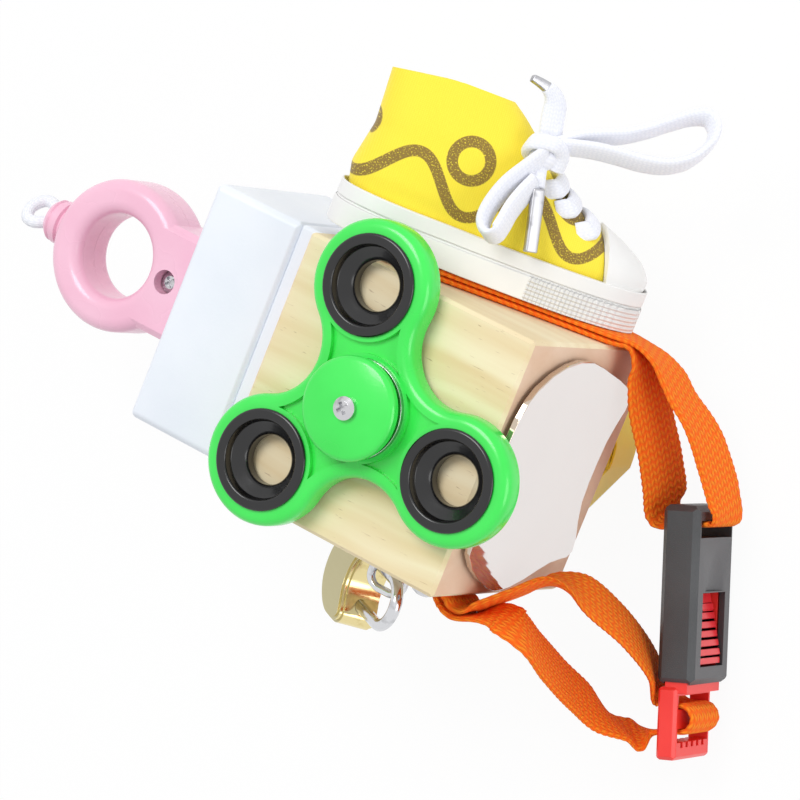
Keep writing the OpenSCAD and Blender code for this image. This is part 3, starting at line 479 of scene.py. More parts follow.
green = plastic("green_gloss", (62, 232, 88), (54, 224, 80), 0.26, Coat_Weight=0.25)
black = plastic("black_gloss", (15, 15, 17), (11, 11, 13), 0.24, Coat_Weight=0.2)
white_box = plastic("white_satin", (236, 240, 247), (231, 236, 244), 0.4, 1400.0)
white_inner = plastic("white_inner", (228, 230, 232), (222, 224, 226), 0.45)
grey = plastic("grey_reel", (180, 180, 184), (170, 170, 174), 0.5)
pink = plastic("pink_gloss", (245, 194, 214), (242, 186, 208), 0.28, Coat_Weight=0.2)
red = plastic("red_gloss", (236, 50, 58), (228, 42, 50), 0.3, Coat_Weight=0.15)
clip_red = plastic("red_satin", (246, 58, 50), (240, 50, 44), 0.35, Coat_Weight=0.1)
yellow = plastic("yellow_gloss", (255, 232, 10), (255, 226, 6), 0.4, Coat_Weight=0.2)
foam = plastic("grey_foam", (190, 190, 192), (170, 170, 172), 0.8, 2500.0, 0.2)
webbing = cloth("orange_webbing", (255, 142, 32), (248, 78, 4), 1.9, 1.25, 0.5, 0.3,
                Specular_IOR_Level=0.25)
lace_cloth = cloth("lace_braid", (244, 245, 251), (232, 234, 243), 1.0, 0.7, 0.5, 0.05,
                   Sheen_Weight=0.15)
cord_cloth = cloth("cord_braid", (248, 249, 253), (228, 231, 238), 1.2, 0.6, 0.5, 0.06,
                   Roughness=0.6)
steel = metal("bright_steel", (205, 205, 208), (150, 150, 152), 0.14)
chrome = metal("chromed_wire", (214, 215, 218), (170, 170, 172), 0.08)
aglet = metal("lace_tip_metal", (190, 190, 194), (150, 150, 154), 0.3)
print("materials so far:", len(bpy.data.materials))

# %% [markdown]
# ## Pine
# Sawn pine is pale, with soft bands where the year rings are cut and short thin brown dashes along
# the grain. The grain runs along X here, so noise stretched in X gives the bands and a second,
# finer noise the dashes. The end faces, cut across, are pinker and darker: partly the end grain,
# partly painted shade and painted orange light reflected from the straps.

# %% Pine
pine, tree, shader = material("pine", Roughness=0.55)
place = coordinate(tree, "Object")
warp = vectors(tree, "MULTIPLY", noise(tree, place, 25.0, output="Color"), (0.008,) * 3)
bent = vectors(tree, "ADD", place, warp)
bands = noise(tree, stretched(tree, bent, (8, 160, 90)), 1.0, 3.0)
dashes = noise(tree, stretched(tree, place, (260, 2300, 2300)), 1.0)
wood = blend_colour(tree, ramp(tree, bands, 0.35, 0.7), linear(242, 228, 192),
                    linear(226, 200, 152))
wood = blend_colour(tree, maths(tree, "MULTIPLY", ramp(tree, dashes, 0.69, 0.76), 0.55), wood,
                    linear(150, 108, 66))
# End faces: partly end grain, partly painted shade and painted orange light bounced from the
# straps.
end_grain_and_painted_bounce = maths(tree, "MULTIPLY", facing(tree, (1, 0, 0), 0.7, 0.95), 0.6)
wood = blend_colour(tree, end_grain_and_painted_bounce, wood, linear(226, 182, 164))
tree.links.new(wood, shader.inputs["Base Color"])
bump(tree, shader, bands, 0.04 * MM)
print("pine nodes:", len(tree.nodes))

# %% [markdown]
# ## Mirror, brass and the black buckle
# The mirror is acrylic, clean and a little warm. Its shading leans down, as on a plate that isn't
# quite flat, so it shows what lies nearer to its face. Its edges are painted wood-brown, a painted
# reflection of the wood in the clear acrylic. The padlock's edges are polished and its flat faces
# satin, so its roughness depends on which way the surface points in the piece's own frame. The
# buckle has a grained shell, and its front face is painted a lighter grey, as painted light on the
# side that faces the right-hand lamp.

# %% Mirror
MIRROR_LEAN = -0.17
mirror, tree, shader = material("acrylic_mirror", Metallic=0.85, Roughness=0.03)
waves = noise(tree, coordinate(tree, "Object"), 45.0)
silver = blend_colour(tree, waves, linear(234, 227, 224), linear(228, 221, 218))
face = facing(tree, (1, 0, 0), 0.6, 0.9)
# The edges, away from the front face, are wood-brown: a painted reflection of the wood in the clear
# acrylic edge.
tree.links.new(blend_colour(tree, face, linear(206, 190, 172), silver),
               shader.inputs["Base Color"])
normal = add(tree, "ShaderNodeNewGeometry").outputs["Normal"]
lean_way = add(tree, "ShaderNodeCombineXYZ", [(2, maths(tree, "MULTIPLY", face, MIRROR_LEAN))])
leaning = vectors(tree, "ADD", normal, lean_way.outputs[0])
level_way = add(tree, "ShaderNodeVectorMath", [(0, leaning)], operation="NORMALIZE")
ripple = bump(tree, shader, waves, 0.05 * MM, 0.3)
tree.links.new(level_way.outputs[0], ripple.inputs["Normal"])
print("mirror nodes:", len(tree.nodes))

# %% Brass and buckle
LOCK_TURN, BUCKLE_TURN = math.radians(37), math.radians(-68)
LOCK_FLAT = (math.sin(LOCK_TURN), 0, -math.cos(LOCK_TURN))
BUCKLE_OUT = (-math.sin(BUCKLE_TURN), math.cos(BUCKLE_TURN), 0)
brass = metal("padlock_brass", (232, 216, 160), (205, 184, 122), 0.1)
tree, shader, skin = inside(brass)
satin = facing(tree, LOCK_FLAT, 0.96, 0.995)
tree.links.new(maths(tree, "MULTIPLY_ADD", satin, 0.3, skin.outputs["Roughness"]),
               shader.inputs["Roughness"])
tree.links.new(blend_colour(tree, satin, skin.outputs["Colour"], linear(196, 188, 150)),
               shader.inputs["Base Color"])

buckle_black = plastic("buckle_grain", (64, 65, 67), (54, 55, 57), 0.42, 5200.0, 0.07)
tree, shader, skin = inside(buckle_black)
# The front face gets a lighter grey: painted light on the side that faces the right-hand lamp.
front = facing(tree, BUCKLE_OUT, 0.8, 0.98)
tree.links.new(blend_colour(tree, front, skin.outputs["Colour"], linear(88, 87, 89)),
               shader.inputs["Base Color"])
print("materials:", len(bpy.data.materials))

# %% [markdown]
# ## Dressing the solid pieces
# The construction model's own meshes stay as they are. A small node tree joins their loose corners
# and smooths the shading except across real edges, and a bevel gives each edge the soft line that
# catches light on a moulded or sanded thing.

# %% Smooth shading by angle
SHARP, SAME_PLACE = math.radians(32), 0.004 * MM
soft_edges = bpy.data.node_groups.new("smooth_by_angle", "GeometryNodeTree")
soft_edges.interface.new_socket("Geometry", in_out="INPUT", socket_type="NodeSocketGeometry")
soft_edges.interface.new_socket("Geometry", in_out="OUTPUT", socket_type="NodeSocketGeometry")
n_in = soft_edges.nodes.new("NodeGroupInput")
n_out = soft_edges.nodes.new("NodeGroupOutput")
plain = add(soft_edges, "GeometryNodeRemoveAttribute", [("Name", "custom_normal")])
merge = add(soft_edges, "GeometryNodeMergeByDistance", [("Distance", SAME_PLACE)])
faces = add(soft_edges, "GeometryNodeSetShadeSmooth", domain="FACE")
edges = add(soft_edges, "GeometryNodeSetShadeSmooth", domain="EDGE")
angle = add(soft_edges, "GeometryNodeInputMeshEdgeAngle")
sharp = add(soft_edges, "FunctionNodeCompare", [(1, SHARP)], operation="GREATER_THAN")
soft_edges.links.new(angle.outputs[0], sharp.inputs[0])
soft_edges.links.new(sharp.outputs[0], edges.inputs["Selection"])
edges.inputs["Shade Smooth"].default_value = False
for a, b in ((n_in, plain), (plain, merge), (merge, faces), (faces, edges), (edges, n_out)):
    soft_edges.links.new(a.outputs[0], b.inputs[0])


def round_edges(piece, width, angle):
    bevel = piece.modifiers.new("bevel", "BEVEL")
    bevel.width = width * MM
    bevel.segments = 3
    bevel.limit_method = "ANGLE"
    bevel.angle_limit = angle
    bevel.harden_normals = True


def soften(piece, edge):
    piece.modifiers.new("soft_edges", "NODES").node_group = soft_edges
    if edge:
        round_edges(piece, edge, SHARP)


def dress(name, finish, edge):
    piece = cad[name]
    piece.data.materials.clear()
    piece.data.materials.append(finish)
    soften(piece, edge)


print("edge group nodes:", len(soft_edges.nodes))

# %% Dress every solid piece
for finish, edge, names in (
        (pine, 0.5, ["wood_block"]), (green, 0.25, ["spinner_cap"]),
        (black, 0.2, ["weight_ring_1", "weight_ring_2", "weight_ring_3"]),
        (white_box, 0.3, ["box_base"]), (white_box, 0.5, ["box_cover"]),
        (white_inner, 0.2, ["cord_outlet", "knob_bush"]), (grey, 0.2, ["cord_reel"]),
        (pink, 0.35, ["ring_front_shell", "ring_rear_shell"]), (pink, 0.2, ["ring_collar"]),
        (mirror, 0.25, ["mirror_plate"]), (yellow, 0.5, ["hex_knob"]),
        (chrome, 0, ["lock_staple"]), (chrome, 0.15, ["lock_shackle"]),
        (brass, 0.45, ["lock_body"]), (brass, 0.1, ["lock_plug"]),
        (buckle_black, 0.45, ["buckle_housing"]), (red, 0.12, ["buckle_button"]),
        (clip_red, 0.3, ["buckle_clip"]), (steel, 0.12, ["spinner_screw"]),
        (steel, 0, ["bearing_balls", "reel_spring", "button_spring"]),
        (steel, 0.1, ["spinner_spacer", "bearing_outer_race", "bearing_inner_race", "base_screws",
                      "reel_axle", "ring_screw", "shoe_screws", "strap_screw", "strap_washer",
                      "knob_screw", "knob_washer"])):
    for name in names:
        dress(name, finish, edge)
print("dressed")

# %% [markdown]
# ## Webbing
# Woven tape isn't a flat ribbon: its edges swell at every turn of the weft and its faces are
# slightly rounded. The section below widens and narrows as it goes along, which gives the edge its
# scallops, and the weave itself is bump. The free runs of the upper strap were traced in the same
# way as the bow. The lower strap was drawn.

# %% Tape section
WEB_W, WEB_T, WEFT = 15 * MM, 1.3 * MM, 1.7 * MM
SCALLOP, DRAWN_IN, STRAP_STEP = 0.16 * MM, 0.12 * MM, 0.42 * MM
SHARES = (-1, -0.985, -0.94, -0.8, -0.4, 0, 0.4, 0.8, 0.94, 0.985, 1)


def tape(i, s):
    half = WEB_W / 2 - DRAWN_IN + SCALLOP * math.sin(2 * math.pi * s / WEFT)
    top = [(share * half, WEB_T / 2 * math.sqrt(1 - abs(share) ** 12)) for share in SHARES]
    return top + [(a, -o) for a, o in reversed(top[1:-1])]


def strap(name, points, sides, node):
    line = [p * MM for p in spline(points, 12)]
    line, turns = resample(line, spline(sides, 12), STRAP_STEP)
    piece = sweep(name, line, turns, tape)
    stand_in(piece, node, finish=webbing)
    return piece


print("tape section:", len(tape(0, 0.0)), "points")

# %% The buckle's frame
BUCKLE_AT, BUCKLE_MID = Vector((52.2, 1.8, 0.2)), 10.0
IN_SLOT, BAR_FROM, BAR_TO = 4.1, 44.9, 50.7


def by_buckle(a, b, up=0.0):
    """A point a along the buckle, b out of its face and up from its middle."""
    c, d = math.cos(BUCKLE_TURN), math.sin(BUCKLE_TURN)
    return BUCKLE_AT + Vector((c * a - d * b, d * a + c * b, BUCKLE_MID + up))


print("strap bar of the clip at", [round(x, 1) for x in by_buckle((BAR_FROM + BAR_TO) / 2, 0)])

# %% Upper strap: from under the shoe, round the buckle's bar and back
flat, lean, down, ease = (-0.62, 0, -0.78), (0.2, 0, -0.98), (0, 0, -1), (0.1, 0, -0.99)
upper_tape = strap(
    "upper_webbing",
    [(-19, 30.7, 65), (-4, 30.7, 53.5), (12, 30.7, 42), (25, 30.7, 33.6), (30, 31.1, 30.6),
     (33.4, 29, 28.8), (35.4, 25, 27), (37.2, 21, 25), (39.4, 15.8, 22), (42, 9.8, 18.5),
     (44.2, 3.6, 15), by_buckle(0.8, -7.2, 1.8), by_buckle(3.2, -6.4, 0.5),
     by_buckle(IN_SLOT + 0.1, -4.6), by_buckle(IN_SLOT, 0), by_buckle(IN_SLOT + 0.1, 4.6),
     by_buckle(3.6, 6.5), by_buckle(1, 7.1, 0.6), by_buckle(-2.5, 6.6, 1.8),
     (53.5, 13, 15.4), (51, 16.7, 17.6), (48, 20.2, 20), (44.3, 23.7, 22.5), (40.6, 27.4, 25),
     (36.2, 30.5, 27.2), (30.6, 32.1, 29.8), (24, 32.1, 34.2), (12, 32.1, 42), (-4, 32.1, 53.5),
     (-19, 32.1, 65)],
    [flat] * 4 + [(-0.45, 0, -0.9), (-0.1, 0, -1), ease] + [lean] * 5 + [ease] + [down] * 5
    + [ease] * 3 + [(0.05, 0, -1), down, down, (-0.2, 0, -0.98), (-0.5, 0, -0.86)] + [flat] * 4,
    "upper_strap")
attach(upper_tape, "cube")
print("upper strap faces:", len(upper_tape.data.polygons))

# %% Lower strap: from its screw, round the clip's bar and back, pulled out with the clip
lower_points = [
    (13, -30.7, 55), (20, -30.7, 55), (25, -31, 55), (30, -33, 55), (34, -29, 52), (38, -24, 45),
    (42, -22, 40), (47, -23, 35), (53, -27, 27), (58, -33, 18), by_buckle(BAR_FROM - 4, -7.5, 2),
    by_buckle(BAR_FROM - 1, -5), by_buckle(BAR_FROM, -2), by_buckle(BAR_FROM, 1),
    by_buckle(BAR_FROM + 1, 2.6), by_buckle((BAR_FROM + BAR_TO) / 2, 3.4),
    by_buckle(BAR_TO - 1, 2.6), by_buckle(BAR_TO, 1), by_buckle(BAR_TO, -2),
    by_buckle(BAR_TO + 0.5, -5), by_buckle(BAR_TO + 1, -8), by_buckle(BAR_TO + 2, -12, 2),
    (57, -51, 16), (52, -48, 23), (48, -44, 31), (45, -38, 43), (42, -33, 51), (36, -32, 53),
    (30, -35, 55), (26, -34, 55), (23, -32.3, 55), (13, -32.1, 55)]
up, toward, aside = (0, 0, 1), (0.5, 0.5, 0.7), (0.6, 0, 0.8)
away, settle = (0.6, -0.4, 0.7), (0.3, -0.2, 0.9)
lower_sides = ([up] * 4 + [toward] * 2 + [aside] + [away] * 3 + [settle] + [up] * 10 + [settle]
               + [aside] + [away] * 4 + [settle] + [up] * 4)
lower_tape = strap("lower_webbing", lower_points, lower_sides, "lower_strap")
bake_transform(lower_tape)
print("lower strap faces:", len(lower_tape.data.polygons))

# %% [markdown]
# ## Pull cord and finger loop
# The pull cord runs straight from the reel to the ring, and its points pass from the cube to the
# ring along its length. On the toy it pays out as the ring is pulled. The small loop at the ring's
# tip is the same braid, bent into an eye.

# %% Cords at the ring
CORD_D, CORD_FROM, CORD_STEP, CORD_COUNT = 2.2, -47, 0.5, 52
EYE_D, EYE_AT = 2.9, Vector((-112.35, 0, MID_Z))
EYE = [(1.5, 1.4, 0), (-0.4, 2.2, 0), (-2.8, 3.6, 0), (-5.2, 3.2, 0), (-6.5, 0, 0),
       (-5.2, -3.2, 0), (-2.8, -3.6, 0), (-0.4, -2.2, 0), (1.5, -1.4, 0)]


def cord(name, line, side, thick, count=14):
    section = oval(thick * MM, thick * MM, count, 1.0)
    return sweep(name, line, [side] * len(line), lambda i, s: section)


cord_line = [Vector((CORD_FROM - CORD_STEP * k, 0, MID_Z)) * MM for k in range(CORD_COUNT)]
pull_cord = cord("pull_cord_braid", cord_line, Vector((0, 0, 1)), CORD_D)
stand_in(pull_cord, "pull_cord", finish=cord_cloth)
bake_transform(pull_cord)

eye_turn = Matrix.Rotation(math.radians(-48), 3, "X")
eye_line = [(EYE_AT + eye_turn @ p) * MM for p in spline(EYE, 10)]
finger_eye = cord("finger_loop_braid", eye_line, eye_turn @ Vector((0, 0, 1)), EYE_D)
stand_in(finger_eye, "finger_loop", "pull_ring", cord_cloth)
print("cord and loop:", pull_cord.name, finger_eye.name)

# %% [markdown]
# ## Spinner body
# The spinner's outline is made of arcs: three round lobes and three hollows that touch them. Drawn
# in by a small amount, each arc only changes its radius, so a loft through such outlines gives an
# edge of any profile. Each arm has a sunk panel, bounded by four more arcs.

# %% Spinner outline
REACH, LOBE_R, WAIST_R = 26.5, 14.5, 12.5
ARMS = [math.radians(109 + 120 * i) for i in range(3)]
SIXTH = math.pi / 3
hub = Vector((0.4, 1.2))
touch = LOBE_R + WAIST_R
WAIST_D = REACH / 2 + math.sqrt(REACH ** 2 / 4 - REACH ** 2 + touch ** 2)
lean_out = math.atan2(WAIST_D * math.sin(SIXTH), WAIST_D / 2 - REACH)


def polar(r, a):
    return r * Vector((math.cos(a), math.sin(a)))


def arc(middle, r, start, stop, count):
    """Points from start up to, but not at, stop."""
    return [middle + polar(r, start + (stop - start) * k / count) for k in range(count)]


def spinner_outline(inset):
    points = []
    half = lean_out - SIXTH
    for a in ARMS:
        lobe = hub + polar(REACH, a)
        points += arc(lobe, LOBE_R - inset, a - lean_out, a + lean_out, 48)
        hollow = hub + polar(WAIST_D, a + SIXTH)
        back = a + SIXTH + math.pi
        points += arc(hollow, WAIST_R + inset, back + half, back - half, 24)
    return points


print("hollow centres at", round(WAIST_D, 2), "mm, lobe arc half angle",
      round(math.degrees(lean_out), 1))

# %% Sunk panels
HUB_R, RIM_R, WALL_R = 12.0, 12.2, WAIST_R + 3.2


def angle_to(middle, r, far, other, side):
    """Direction from one circle's middle to the point where it meets another circle."""
    way = far - middle
    d = way.length
    return math.atan2(way.y, way.x) + side * math.acos((r * r + d * d - other * other)
                                                       / (2 * r * d))


def pocket(a):
    """Sunk panel of one arm, between the hub, the weight and the two hollows."""
    lobe = hub + polar(REACH, a)
    left, right = [hub + polar(WAIST_D, a + b) for b in (SIXTH, -SIXTH)]
    hub_right = angle_to(hub, HUB_R, right, WALL_R, 1)
    hub_left = angle_to(hub, HUB_R, left, WALL_R, -1)
    hub_left += 2 * math.pi * (hub_left < hub_right)
    lobe_left = angle_to(lobe, RIM_R, left, WALL_R, 1)
    lobe_right = angle_to(lobe, RIM_R, right, WALL_R, -1)
    lobe_right += 2 * math.pi * (lobe_right < lobe_left)
    walls = []
    for far, start, stop in ((left, (hub, HUB_R, hub_left), (lobe, RIM_R, lobe_left)),
                             (right, (lobe, RIM_R, lobe_right), (hub, HUB_R, hub_right))):
        ends = [middle + polar(r, b) - far for middle, r, b in (start, stop)]
        first, last = [math.atan2(e.y, e.x) for e in ends]
        last = first + math.remainder(last - first, 2 * math.pi)
        walls.append(arc(far, WALL_R, first, last, 10))
    return (arc(hub, HUB_R, hub_right, hub_left, 20) + walls[0]
            + arc(lobe, RIM_R, lobe_left, lobe_right, 18) + walls[1])


print("points round a panel:", len(pocket(ARMS[0])))

# %% Spinner body
SPIN_Z, POCKET_Z, HUB_HOLE, WEIGHT_HOLE = 76.2, 4.6, 11.05, 10.3
RIM = [(0.5, 0), (0.12, 0.2), (0, 0.7), (0, 3.6), (0.12, 4.3), (0.45, 4.95), (0.95, 5.45),
       (1.6, 5.73), (2.2, 5.8)]
SPIN_T = RIM[-1][1]


def ring(bm, points, z):
    return [bm.verts.new(Vector((p.x, p.y, SPIN_Z + z)) * MM) for p in points]


def join(bm, low, high):
    for k in range(len(low)):
        m = (k + 1) % len(low)
        bm.faces.new((low[k], low[m], high[m], high[k]))


def fill(bm, loops):
    edges = []
    for loop in loops:
        edges += [bm.edges.get((a, b)) or bm.edges.new((a, b))
                  for a, b in zip(loop, loop[1:] + loop[:1])]
    bmesh.ops.triangle_fill(bm, use_beauty=True, edges=edges)


bm = bmesh.new()
rings = [ring(bm, spinner_outline(inset), z) for inset, z in RIM]
for low, high in zip(rings, rings[1:]):
    join(bm, low, high)
holes = [(hub, HUB_HOLE)] + [(hub + polar(REACH, a), WEIGHT_HOLE) for a in ARMS]
lows, highs = [[ring(bm, arc(middle, r, 0, 2 * math.pi, 64), z) for middle, r in holes]
               for z in (0, SPIN_T)]
for low, high in zip(lows, highs):
    join(bm, low, high)
sunk = []
for a in ARMS:
    top, bottom = [ring(bm, pocket(a), z) for z in (SPIN_T, POCKET_Z)]
    join(bm, bottom, top)
    fill(bm, [bottom])
    sunk.append(top)
fill(bm, [rings[-1]] + highs + sunk)
fill(bm, [rings[0]] + lows)
bmesh.ops.recalc_face_normals(bm, faces=bm.faces)
spinner = new_piece("spinner_moulding", bm, green)
soften(spinner, 0)
stand_in(spinner, "spinner_body", "spinner")
print("spinner faces:", len(spinner.data.polygons))

# %% [markdown]
# ## Shoe upper
# The upper is a stack of foot-shaped outlines whose heel, toe and width change with height. The
# lines below say how. The front is left open above the vamp for the tongue, and a second skin over
# the toe, a little larger, becomes the rubber cap.

# %% Shoe form
SHOE_LEN, SHOE_W, COLLAR_TOP, FOOT_Z = 73.0, 31.0, SHOE_LIFT + 36, SHOE_LIFT + 4
HEEL = [(0, -0.46), (0.3, -0.49), (0.6, -0.465), (1, -0.478)]
VAMP = [(0, 0.44), (0.22, 0.462), (0.30, 0.432), (0.38, 0.365), (0.44, 0.295), (0.52, 0.205),
        (0.62, 0.13), (0.72, 0.075), (0.84, 0.025), (0.94, -0.04), (1, -0.09)]
WIDE = [(0, 0.40), (0.3, 0.43), (0.5, 0.40), (0.7, 0.35), (1, 0.24)]
EASED, COLLAR_RISE, COLLAR_SLOPE = 0.025, 2.2, 0.12
TOE_LEAN = math.radians(18)


def level(rows, t):
    """Value at height t, eased over the corners of the line."""
    def one(h):
        for (a, u), (b, v) in zip(rows, rows[1:]):
            if h <= b or b == rows[-1][0]:
                return u + (v - u) * (h - a) / (b - a)
    spread = EASED if 0.02 < t < 0.98 else 0
    return (one(t - spread) + 2 * one(t) + one(t + spread)) / 4


def foot(a):
    """Outline of a foot, one unit to each side: waisted in the middle and narrow at the heel."""
    c, s = math.cos(a), math.sin(a)
    w = 1 - 0.10 * max(0, 1 - abs(c + 0.25) * 1.6) ** 2 - (0.12 * c * c if c < 0 else 0)
    return (math.copysign(abs(c) ** 0.72, c), math.copysign(abs(s) ** 0.78, s) * w)


def shoe_point(t, a, inset=0.0):
    """Point of the skin at height t and direction a; the collar rises forward and leans aside."""
    back = level(HEEL, t) * SHOE_LEN + inset
    front = level(VAMP, t) * SHOE_LEN - inset
    x, y = foot(a)
    x = (front + back) / 2 + x * (front - back) / 2
    y *= level(WIDE, t) * SHOE_W - inset
    forward = min(max(5 * x / SHOE_LEN + 2.4, 0), 1)
    rise = t ** 3 * (COLLAR_RISE * forward - COLLAR_SLOPE * y)
    return Vector((x, y, FOOT_Z + t * (COLLAR_TOP - FOOT_Z) + rise))


def shoe_skin(name, heights, angles, closed, inset=0.0, keep=None, plane=None):
    """Skin of the shoe over the heights; keep(t, a, b) says which faces stay, plane cuts it."""
    bm = bmesh.new()
    uv = bm.loops.layers.uv.new("UVMap")
    grid = [[bm.verts.new(shoe_point(t, a, inset)) for a in angles] for t in heights]
    count = len(angles)
    for i in range(len(heights) - 1):
        for j in range(count if closed else count - 1):
            k = (j + 1) % count
            if keep and not keep((heights[i] + heights[i + 1]) / 2, angles[j], angles[k]):
                continue
            bm.faces.new((grid[i][j], grid[i][k], grid[i + 1][k], grid[i + 1][j]))
    bmesh.ops.delete(bm, geom=[v for v in bm.verts if not v.link_faces], context="VERTS")
    if plane:
        bmesh.ops.bisect_plane(bm, geom=list(bm.verts) + list(bm.edges) + list(bm.faces),
                               plane_co=plane[0], plane_no=plane[1], clear_outer=True)
    for face in bm.faces:
        for loop in face.loops:
            loop[uv].uv = (loop.vert.co.x, loop.vert.co.z)
    for vert in bm.verts:
        vert.co = from_shoe(vert.co)
    bmesh.ops.recalc_face_normals(bm, faces=bm.faces)
    return new_piece(name, bm)


def thicken(piece, wall):
    """Wall inwards from the outer skin, with rounded rims."""
    shell = piece.modifiers.new("wall", "SOLIDIFY")
    shell.thickness = wall * MM
    shell.offset = -1
    shell.use_even_offset = True
    round_edges(piece, 0.5, math.radians(50))


AROUND = [2 * math.pi * (k + 0.5) / 96 for k in range(96)]
HEIGHTS = [k / 60 for k in range(61)]
toe_at = Vector((SHOE_LEN * 0.305, 0, 18.5))
toe_way = Vector((math.cos(TOE_LEAN), 0, math.sin(TOE_LEAN)))
print("collar at", COLLAR_TOP, "mm, front of the collar",
      round(shoe_point(1, 0)[0], 1), "mm")

# %% Canvas, with a printed wave and rings
canvas, tree, shader = material("yellow_canvas", Roughness=0.75, Sheen_Weight=0.15)
threads = add(tree, "ShaderNodeGroup", [
    ("Stitch", 0.5), ("Column", 0.4), ("Slant", 0.0), ("High colour", linear(255, 234, 66)),
    ("Low colour", linear(250, 224, 50))], node_tree=woven)
uv_map = coordinate(tree, "UV")
spread = add(tree, "ShaderNodeSeparateXYZ", [(0, uv_map)])
WAVE, SWELL, WAVE_Z, STROKE = 26.0, 5.0, 20.0, 1.35
RING_X, RING_Z, RING_R = 12.8, 27.0, 4.2
phase = maths(tree, "MULTIPLY_ADD", spread.outputs[0], 2 * math.pi / WAVE, 1.0)
crest = maths(tree, "MULTIPLY_ADD", maths(tree, "SINE", phase), SWELL, WAVE_Z)
slope = maths(tree, "MULTIPLY", maths(tree, "COSINE", phase), SWELL * 2 * math.pi / WAVE)
slant = maths(tree, "SQRT", maths(tree, "MULTIPLY_ADD", slope, slope, 1.0))
off_wave = maths(tree, "DIVIDE", maths(tree, "ABSOLUTE", maths(
    tree, "SUBTRACT", spread.outputs[1], crest)), slant)
run = maths(tree, "PINGPONG", maths(tree, "ADD", spread.outputs[0], 10 * WAVE + RING_X), WAVE / 2)
rise = maths(tree, "SUBTRACT", spread.outputs[1], RING_Z)
radius = maths(tree, "SQRT", maths(tree, "MULTIPLY_ADD", rise, rise,
                                   maths(tree, "MULTIPLY", run, run)))
off_ring = maths(tree, "ABSOLUTE", maths(tree, "SUBTRACT", radius, RING_R))
off_print = maths(tree, "MINIMUM", off_wave, off_ring)
ink = ramp(tree, off_print, STROKE, STROKE - 0.2)
worn = ramp(tree, noise(tree, uv_map, 3.0, 4.0), 0.3, 0.45)
print_share = maths(tree, "MULTIPLY", maths(tree, "MULTIPLY", ink, worn), 0.9)
tree.links.new(blend_colour(tree, print_share, threads.outputs["Colour"], linear(118, 86, 44)),
               shader.inputs["Base Color"])
bump(tree, shader, threads.outputs["Height"], 0.03 * MM)
print("canvas nodes:", len(tree.nodes))

# %% Sole rubber, with a lattice on the toe bumper
rubber = plastic("white_rubber", (240, 239, 237), (235, 234, 232), 0.45, 1200.0)
sole_rubber = plastic("sole_rubber", (240, 239, 237), (234, 233, 231), 0.5, 1200.0)
tree, shader = inside(sole_rubber)[:2]
from_heel = vectors(tree, "SUBTRACT", coordinate(tree, "Object"), shoe_origin * MM)
local = [vectors(tree, "DOT_PRODUCT", from_heel, axis, "Value") for axis in shoe_turn.transposed()]
PITCH, TOE_FROM, LATTICE_TOP = 2 * math.pi / (1.9 * MM), 7.8 * MM, 8.8 * MM
round_toe = maths(tree, "SUBTRACT", local[0], local[1])
rise_sum = maths(tree, "MULTIPLY", maths(tree, "ADD", round_toe, local[2]), PITCH)
rise_gap = maths(tree, "MULTIPLY", maths(tree, "SUBTRACT", round_toe, local[2]), PITCH)
lattice = maths(tree, "MULTIPLY", maths(tree, "SINE", rise_sum), maths(tree, "SINE", rise_gap))
at_toe = ramp(tree, local[0], TOE_FROM, TOE_FROM + 0.4 * MM)
below = ramp(tree, local[2], LATTICE_TOP, LATTICE_TOP - 0.3 * MM)
lattice = maths(tree, "MULTIPLY", lattice, maths(tree, "MULTIPLY", at_toe, below))
bump(tree, shader, lattice, 0.25 * MM)
print("sole nodes:", len(tree.nodes))

# %% Upper, tongue and toe cap
SLIT = math.radians(22)


def quarter(t, a, b):
    near = min(abs(math.remainder(a, 2 * math.pi)), abs(math.remainder(b, 2 * math.pi)))
    return t < 0.52 or near > SLIT


upper = shoe_skin("canvas_upper", HEIGHTS, AROUND, True, keep=quarter,
                  plane=(toe_at - toe_way * 0.05, toe_way))
thicken(upper, 1.6)
tongue_heights = [0.46 + k / 60 for k in range(32)]
tongue_angles = [math.radians(-36 + 3 * k) for k in range(25)]
tongue = shoe_skin("canvas_tongue", tongue_heights, tongue_angles, False, inset=1.5)
thicken(tongue, 1.4)
cap = shoe_skin("rubber_toe_cap", HEIGHTS[:36], AROUND, True, inset=-0.25,
                plane=(toe_at, -toe_way))
thicken(cap, 1.6)
stand_in(upper, "shoe_upper", "cube", canvas)
stand_in(tongue, "shoe_tongue", "cube", canvas)
stand_in(cap, "toe_cap", "cube", rubber)
dress("shoe_sole", sole_rubber, 0.3)
print("upper faces:", len(upper.data.polygons))

# %% [markdown]
# ## Laces on the shoe
# Three runs of lace cross the tongue, and the knot above them is one turn of the same lace laid
# over the ends. The metal tips are flattened tubes.

# %% Crossings and knot
CROSS_W, CROSS_T, CROSS_ANGLE = 4.4 * MM, 2.0 * MM, math.radians(52)
crossing_pieces = []
for n, middle in enumerate((0.5, 0.585, 0.67)):
    line, turns = [], []
    for k in range(41):
        share = k / 20 - 1
        t, a = middle - 0.09 * share * share, CROSS_ANGLE * share
        stand = 1.7 - 2.6 * max(0, abs(share) - 0.7) / 0.3
        line.append(from_shoe(shoe_point(t, a, -stand)))
        turns.append(shoe_turn @ (shoe_point(t + 0.02, a) - shoe_point(t - 0.02, a)))
    crossing_pieces.append(sweep(f"lace_crossing_{n + 1}", line, turns,
                                 lambda i, s: oval(CROSS_W, CROSS_T)))
WRAP = [(-2.6, -1, -2.6), (-3.9, -3, -0.9), (-3.6, -5, 0.9), (-1.8, -6, 1.8), (0.6, -6, 2),
        (2.5, -5, 1.3), (3.6, -4, -0.6), (3.6, -3.4, -3.6)]
